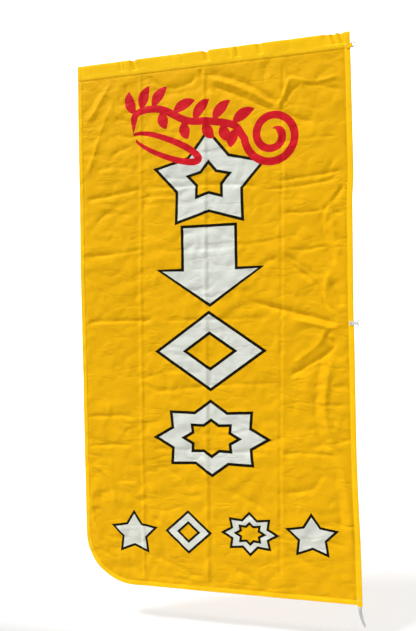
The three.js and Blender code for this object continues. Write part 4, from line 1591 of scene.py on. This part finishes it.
class FLAG_OT_ring_tabs(bpy.types.Operator):
    """Folds the two tabs that hold the rings"""

    bl_idname = "banner_flag.ring_tabs"
    bl_label = "Ring tabs"

    def execute(self, context):
        for name, material, slot in (
            ("top_ring", trim_cloth(), "trim_cloth"),
            ("mid_ring", webbing(), "webbing"),
        ):
            bar, axes = ring_frame(name)
            reach = RING_BAR_X - TAB_LOW.x - float(drape().lay(0.0, bar.z)[0])
            tab = self.make_tab(f"{name}_webbing_tab", bar, axes, reach)
            finish_piece(tab, [material], "flag", [f"{name}_tab"], angle=50)
        return {"FINISHED"}

    def make_tab(self, name, bar, axes, reach):
        """A tape folded round the bar, both its leaves reaching the same distance back from it."""
        leaf_steps, fold_steps, ribs = 26, 14, 10
        leaf = [(-reach + reach * k / leaf_steps, -1.0) for k in range(leaf_steps)]
        turns = [math.pi * (k / fold_steps - 0.5) for k in range(fold_steps + 1)]
        bend = [(TAB_LIFT * math.cos(t), math.sin(t)) for t in turns]
        route = np.array(leaf + bend + [(a, -b) for a, b in leaf[::-1]])
        lift = np.full(len(route), TAB_LIFT)
        lift += 0.35 * MM * np.exp(-((route[:, 0]) / (3 * MM)) ** 2)
        route[:, 1] *= lift
        ahead = headings(route)
        normal = np.stack([ahead[:, 1], -ahead[:, 0]], axis=1)
        section = np.array(tape_section(TAB_W, TAB_T, ribs))
        loop, count = len(section), len(route)
        rib = 1 + 0.12 * np.where(np.arange(count) % 2, 1.0, -1.0)
        local = np.empty((count, loop, 3))
        for k in (0, 1):
            local[..., k] = route[:, None, k] + normal[:, None, k] * section[None, :, 1] * rib[:, None]
        waist = 1 - 0.06 * np.exp(-((route[:, 0] / (6 * MM)) ** 2))
        local[..., 2] = section[None, :, 0] * waist[:, None]
        points = local.reshape(-1, 3) @ np.array(axes).T + np.array(bar)
        faces = grid_faces(count, loop) + end_faces(count, loop)
        steps = lengths_along(route)
        flat = np.stack([np.repeat(steps[:, None], loop, axis=1), local[..., 2]], axis=2)
        return new_piece(name, points, faces, flat.reshape(-1, 2))


class FLAG_OT_rings(bpy.types.Operator):
    """Moulds the two plastic D-rings"""

    bl_idname = "banner_flag.rings"
    bl_label = "D-rings"

    def execute(self, context):
        for name in ("top_ring", "mid_ring"):
            ring = self.mould(f"{name}_moulding")
            bar, axes = ring_frame(name)
            ring.data.transform(Matrix.Translation(bar) @ axes.to_4x4())
            turn_outwards(ring.data)
            finish_piece(ring, [ring_plastic()], name, [name], angle=35)
        return {"FINISHED"}

    def mould(self, name):
        """A ring round the origin, its bar on the Z axis and its bow towards +X."""
        clear_selection()
        bpy.ops.mesh.primitive_circle_add(vertices=RING_POINTS, radius=RING_H / 2, fill_type="NGON")
        ring = bpy.context.object
        ring.name = ring.data.name = name
        for vertex, (x, z) in zip(ring.data.vertices, self.outer_edge(RING_POINTS)):
            vertex.co = (x, 0, z)
        bpy.ops.object.mode_set(mode="EDIT")
        bpy.ops.mesh.select_all(action="SELECT")
        bpy.ops.mesh.inset(thickness=RING_T, depth=0)
        bpy.ops.mesh.delete(type="ONLY_FACE")
        bpy.ops.object.mode_set(mode="OBJECT")
        apply_modifier(ring, "SOLIDIFY", thickness=RING_T, offset=0)
        sharp = math.radians(50)
        apply_modifier(
            ring, "BEVEL", width=RING_ROUNDING, segments=4, limit_method="ANGLE", angle_limit=sharp
        )
        return ring

    def outer_edge(self, count):
        """Points evenly spread round the ring's outer edge: the bow, the two back corners and the bar."""
        half = RING_H / 2
        edge = -RING_T / 2
        corner = 1.3 * RING_T
        bow = np.linspace(-math.pi / 2, math.pi / 2, 40)
        bend = np.linspace(math.pi / 2, math.pi, 10)
        bow_points = np.stack([RING_REACH - half + half * np.cos(bow), half * np.sin(bow)], axis=1)
        top = np.stack([edge + corner * (1 + np.cos(bend)), half - corner * (1 - np.sin(bend))], axis=1)
        bottom = top[::-1] * np.array([1, -1])
        outline = np.concatenate([bow_points, top, bottom, bow_points[:1]])
        lengths = lengths_along(outline)
        spots = np.linspace(0, lengths[-1], count, endpoint=False)
        return np.stack([np.interp(spots, lengths, outline[:, k]) for k in (0, 1)], axis=1)


# ---------------------------------------------------------------- add-on


class FLAG_PT_banner(bpy.types.Panel):
    """Lists the flag's settings and the steps that make it"""

    bl_label = "Banner Flag"
    bl_idname = "FLAG_PT_banner"
    bl_space_type = "VIEW_3D"
    bl_region_type = "UI"
    bl_category = "Banner Flag"

    def draw(self, context):
        for group in SETTINGS:
            box = self.layout.box()
            settings = getattr(context.scene, group)
            for key in settings.__annotations__:
                box.prop(settings, key)
        for step in STEPS:
            self.layout.operator(step.bl_idname)


SETTINGS = {
    "flag_stage": StageSettings,
    "flag_cloth": ClothSettings,
    "flag_print": PrintSettings,
    "flag_thread": ThreadSettings,
    "flag_fittings": FittingSettings,
}
STEPS = (
    FLAG_OT_stage,
    FLAG_OT_tie_tail,
    FLAG_OT_panel,
    FLAG_OT_sleeve,
    FLAG_OT_header,
    FLAG_OT_hems,
    FLAG_OT_stitching,
    FLAG_OT_ring_tabs,
    FLAG_OT_bar_tacks,
    FLAG_OT_rings,
)


def register():
    for group, kind in SETTINGS.items():
        bpy.utils.register_class(kind)
        setattr(bpy.types.Scene, group, bpy.props.PointerProperty(type=kind))
    for step in STEPS:
        bpy.utils.register_class(step)
    bpy.utils.register_class(FLAG_PT_banner)


def unregister():
    bpy.utils.unregister_class(FLAG_PT_banner)
    for step in reversed(STEPS):
        bpy.utils.unregister_class(step)
    for group, kind in SETTINGS.items():
        delattr(bpy.types.Scene, group)
        bpy.utils.unregister_class(kind)


def main():
    register()
    bpy.ops.banner_flag.stage()
    bpy.ops.banner_flag.tie_tail()
    bpy.ops.banner_flag.panel()
    bpy.ops.banner_flag.sleeve()
    bpy.ops.banner_flag.header()
    bpy.ops.banner_flag.hems()
    bpy.ops.banner_flag.stitching()
    bpy.ops.banner_flag.ring_tabs()
    bpy.ops.banner_flag.bar_tacks()
    bpy.ops.banner_flag.rings()


if __name__ == "__main__":
    main()
